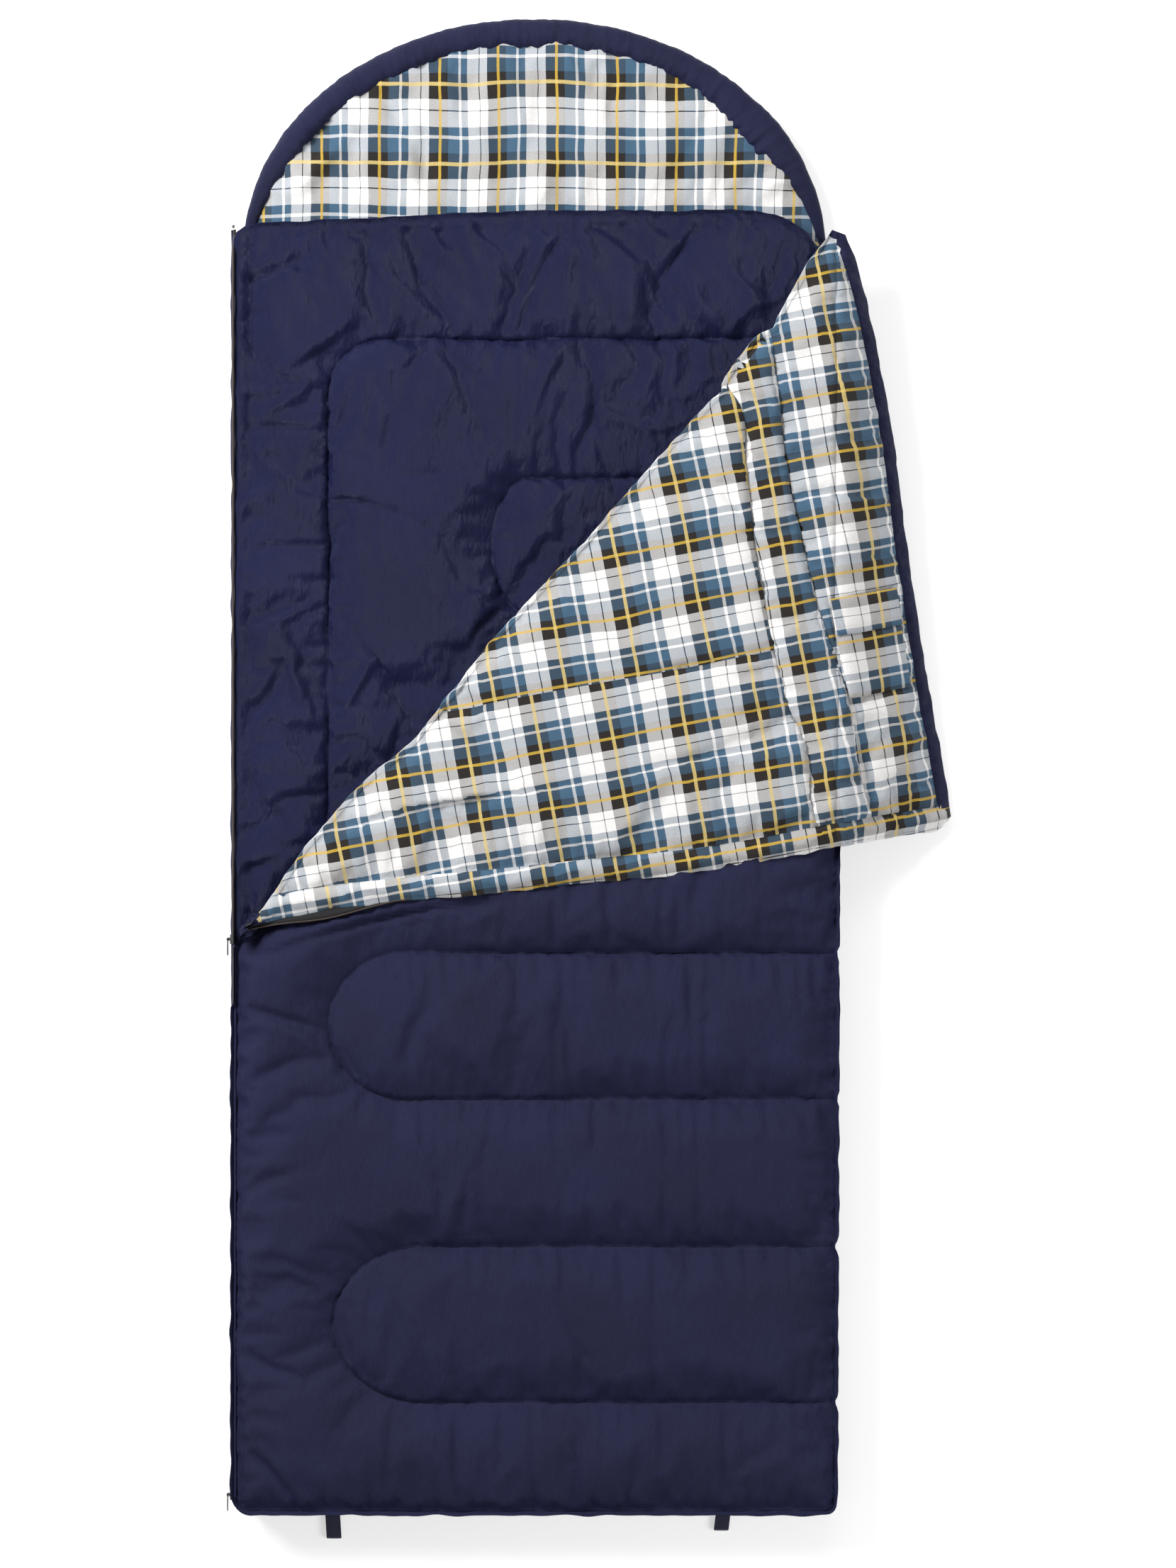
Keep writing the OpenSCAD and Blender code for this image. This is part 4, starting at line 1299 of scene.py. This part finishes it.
def build_zip_side():
    back_profile = [(0.0005, 0.004), (0.0045, 0.012), (0.0068, 0.024), (0.0076, 0.036), (0.0066, 0.046),
                    (0.0036, 0.0525), (0.0016, 0.055), (0.002, 0.059)]
    tape = strip("zip_side_back", TAPE_LO.y, TAPE_HI.y, back_profile, 0.0022, [0, 0, 0, 0, 0, 0, 1], 2.0,
                 HEAD_SINK)
    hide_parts("zip_tape_back")
    lo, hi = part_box("zip_tape_front")
    front_profile = [(0.002, 0.062), (0.0016, 0.0645), (0.002, 0.067), (0.0016, 0.0695), (0.0005, 0.0715),
                     (-0.002, 0.0725)]
    tape = strip("zip_side_front", lo.y, hi.y, front_profile, 0.0008, [1, 0, 0, 0, 0], 4.0)
    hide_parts("zip_tape_front")
    x = -HALF_W - 0.0027
    teeth = coil("zip_coil_back", [(x, TAPE_LO.y), (x, TAPE_HI.y)], ZIP_Z - COIL_R, "bag", sink=HEAD_SINK)
    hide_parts("zip_chain_back")
    lo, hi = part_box("zip_chain_front")
    teeth = coil("zip_coil_front", [(x, lo.y), (x, hi.y)], ZIP_Z + COIL_R, "bag", lean=-1.0)
    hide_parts("zip_chain_front")


def build_zip_flap():
    """The other half of the zip, along the turned-back corner's edge, split where the overhang starts."""
    edge = resample(zip_edge, 0.004)
    run, out = path_frame(edge)
    reach = -0.002 + 0.0175 * np.exp(-((run - 0.112) / 0.085) ** 2)
    on_bag, hanging = edge[:, 0] < ROOT_X, edge[:, 0] > ROOT_X - 0.004
    for name, keep, body in (("flap", on_bag, "flap"), ("corner", hanging, None)):
        rings, coil_line, coil_z = [], [], []
        for at_point, side, r, w in zip(edge[keep], out[keep], run[keep], reach[keep]):
            sag = 0.001 * noise.noise((r / 0.04, 1.0, 0.0))
            top = [(-0.004, 0.0925), (0.0035, 0.0915), (0.0035 + 0.55 * w, 0.0915 + sag),
                   (0.0035 + w, 0.092 + sag)]
            rings.append([(*(at_point + side * d), z) for d, z in top]
                         + [(*(at_point + side * d), z - 0.0009) for d, z in top[::-1]])
            coil_line.append(at_point + side * (0.004 + w))
            coil_z.append(0.0925 + sag)
        tape = sweep("zip_tape_" + name + "_strip", rings, [TAPE])
        teeth = coil("zip_coil_" + name, coil_line, coil_z, None)
        for ob, slot in ((tape, "zip_tape"), (teeth, "zip_chain")):
            if body:
                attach(ob, body)
            else:
                move(ob, droop)
                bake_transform(ob)
            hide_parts(slot + "_" + name)


def patch(name, x0, x1, low, high, seed, shift, body, replaced, seam_x):
    """A small padded cloth patch of the pocket on the overhang, given by its place on the closed bag."""
    y0, y1 = POCKET_Y - POCKET_SIDE, POCKET_Y
    seam = [(seam_x, y0 + 0.004), (seam_x, y1 - 0.004)]
    cut = Sheet([(x0, y0), (x1, y0), (x1, y1), (x0, y1)], [seam], 0.0045)
    closed = cut.flat
    z = low + (high - low) * (1 - np.exp(-cut.to_edge / 0.006)) + 0.0011 * ripple(closed, 0.02, seed)
    z += dents(closed, folds(np.random.default_rng(seed), 10, (x0, y0), (x1, y1), 0, 40, 0.03, 0.006, 0.0011))
    z -= 0.0012 * np.exp(-(cut.to_seam / 0.002) ** 2)
    flat = mirrored(closed)
    faces = [tuple(reversed(f)) for f in cut.faces]
    rings = [(0.0008, z[rim_of(faces)] - 0.001, 0), (0.0008, low - 0.0012, 0)]
    ob = closed_pad(name, flat, np.column_stack([flat, z]), faces, closed + shift, rings, low - 0.0016, 0.0,
                    [PLAID], [0] * len(faces), 0)
    move(ob, droop)
    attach(ob, body)
    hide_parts(replaced)


def build_pocket():
    patch("pocket_pouch", POCKET_X - POCKET_SIDE, POCKET_X, 0.1075, 0.1105, 5, np.array([0.013, 0.021]),
          "flap_corner", "pocket", POCKET_X - 0.009)
    left = POCKET_X - POCKET_LAP
    patch("pocket_flap_cloth", left, left + 0.054, 0.112, 0.1135, 8, np.array([0.035, 0.004]),
          "pocket_flap", "pocket_flap", left + 0.008)


def build_loop(name, lean):
    """A hanging loop: one length of webbing folded in two round an open eye."""
    lo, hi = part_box(name)
    x, half_w = (lo.x + hi.x) / 2, (hi.x - lo.x) / 2
    thick, r = 0.0013, (hi.z - lo.z) / 2
    mid_z, tip = (lo.z + hi.z) / 2, lo.y + r
    turn = r - thick / 2
    # The webbing's middle line, from its root over the top, round the eye and back beneath.
    centre = [(hi.y - 0.0002, mid_z + 0.0022), (hi.y - 0.006, mid_z + 0.0026)]
    centre += [(y, mid_z + turn) for y in np.linspace(hi.y - 0.014, tip, 7)]
    centre += [(tip - turn * math.sin(a), mid_z + turn * math.cos(a))
               for a in np.linspace(0.3, math.pi - 0.3, 9)]
    centre += [(y, mid_z - turn) for y in np.linspace(tip, hi.y - 0.014, 7)]
    centre += [(hi.y - 0.006, mid_z - 0.0012), (hi.y - 0.0002, mid_z - 0.001)]
    centre = np.array(centre)
    t = np.gradient(centre, axis=0)
    t /= np.linalg.norm(t, axis=1)[:, None]
    normal = np.column_stack([-t[:, 1], t[:, 0]])
    across = [-1, -0.94, -0.6, 0, 0.6, 0.94, 1.0]
    rings = []
    for (y, z), n in zip(centre, normal):
        ring = []
        for side, row in ((1, across), (-1, across[::-1])):
            for a in row:
                k = side * thick / 2 * (1.0 if abs(a) < 0.9 else 0.45)
                ring.append((x + a * half_w + lean * (hi.y - y), y + n[0] * k, z + n[1] * k))
        rings.append(ring)
    ob = sweep(name + "_webbing", rings, [WEB], name)
    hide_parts(name)


build_rim()
build_side_wall()
build_zip_side()
build_zip_flap()
build_pocket()
build_loop("loop_left", 0.06)
build_loop("loop_right", -0.12)
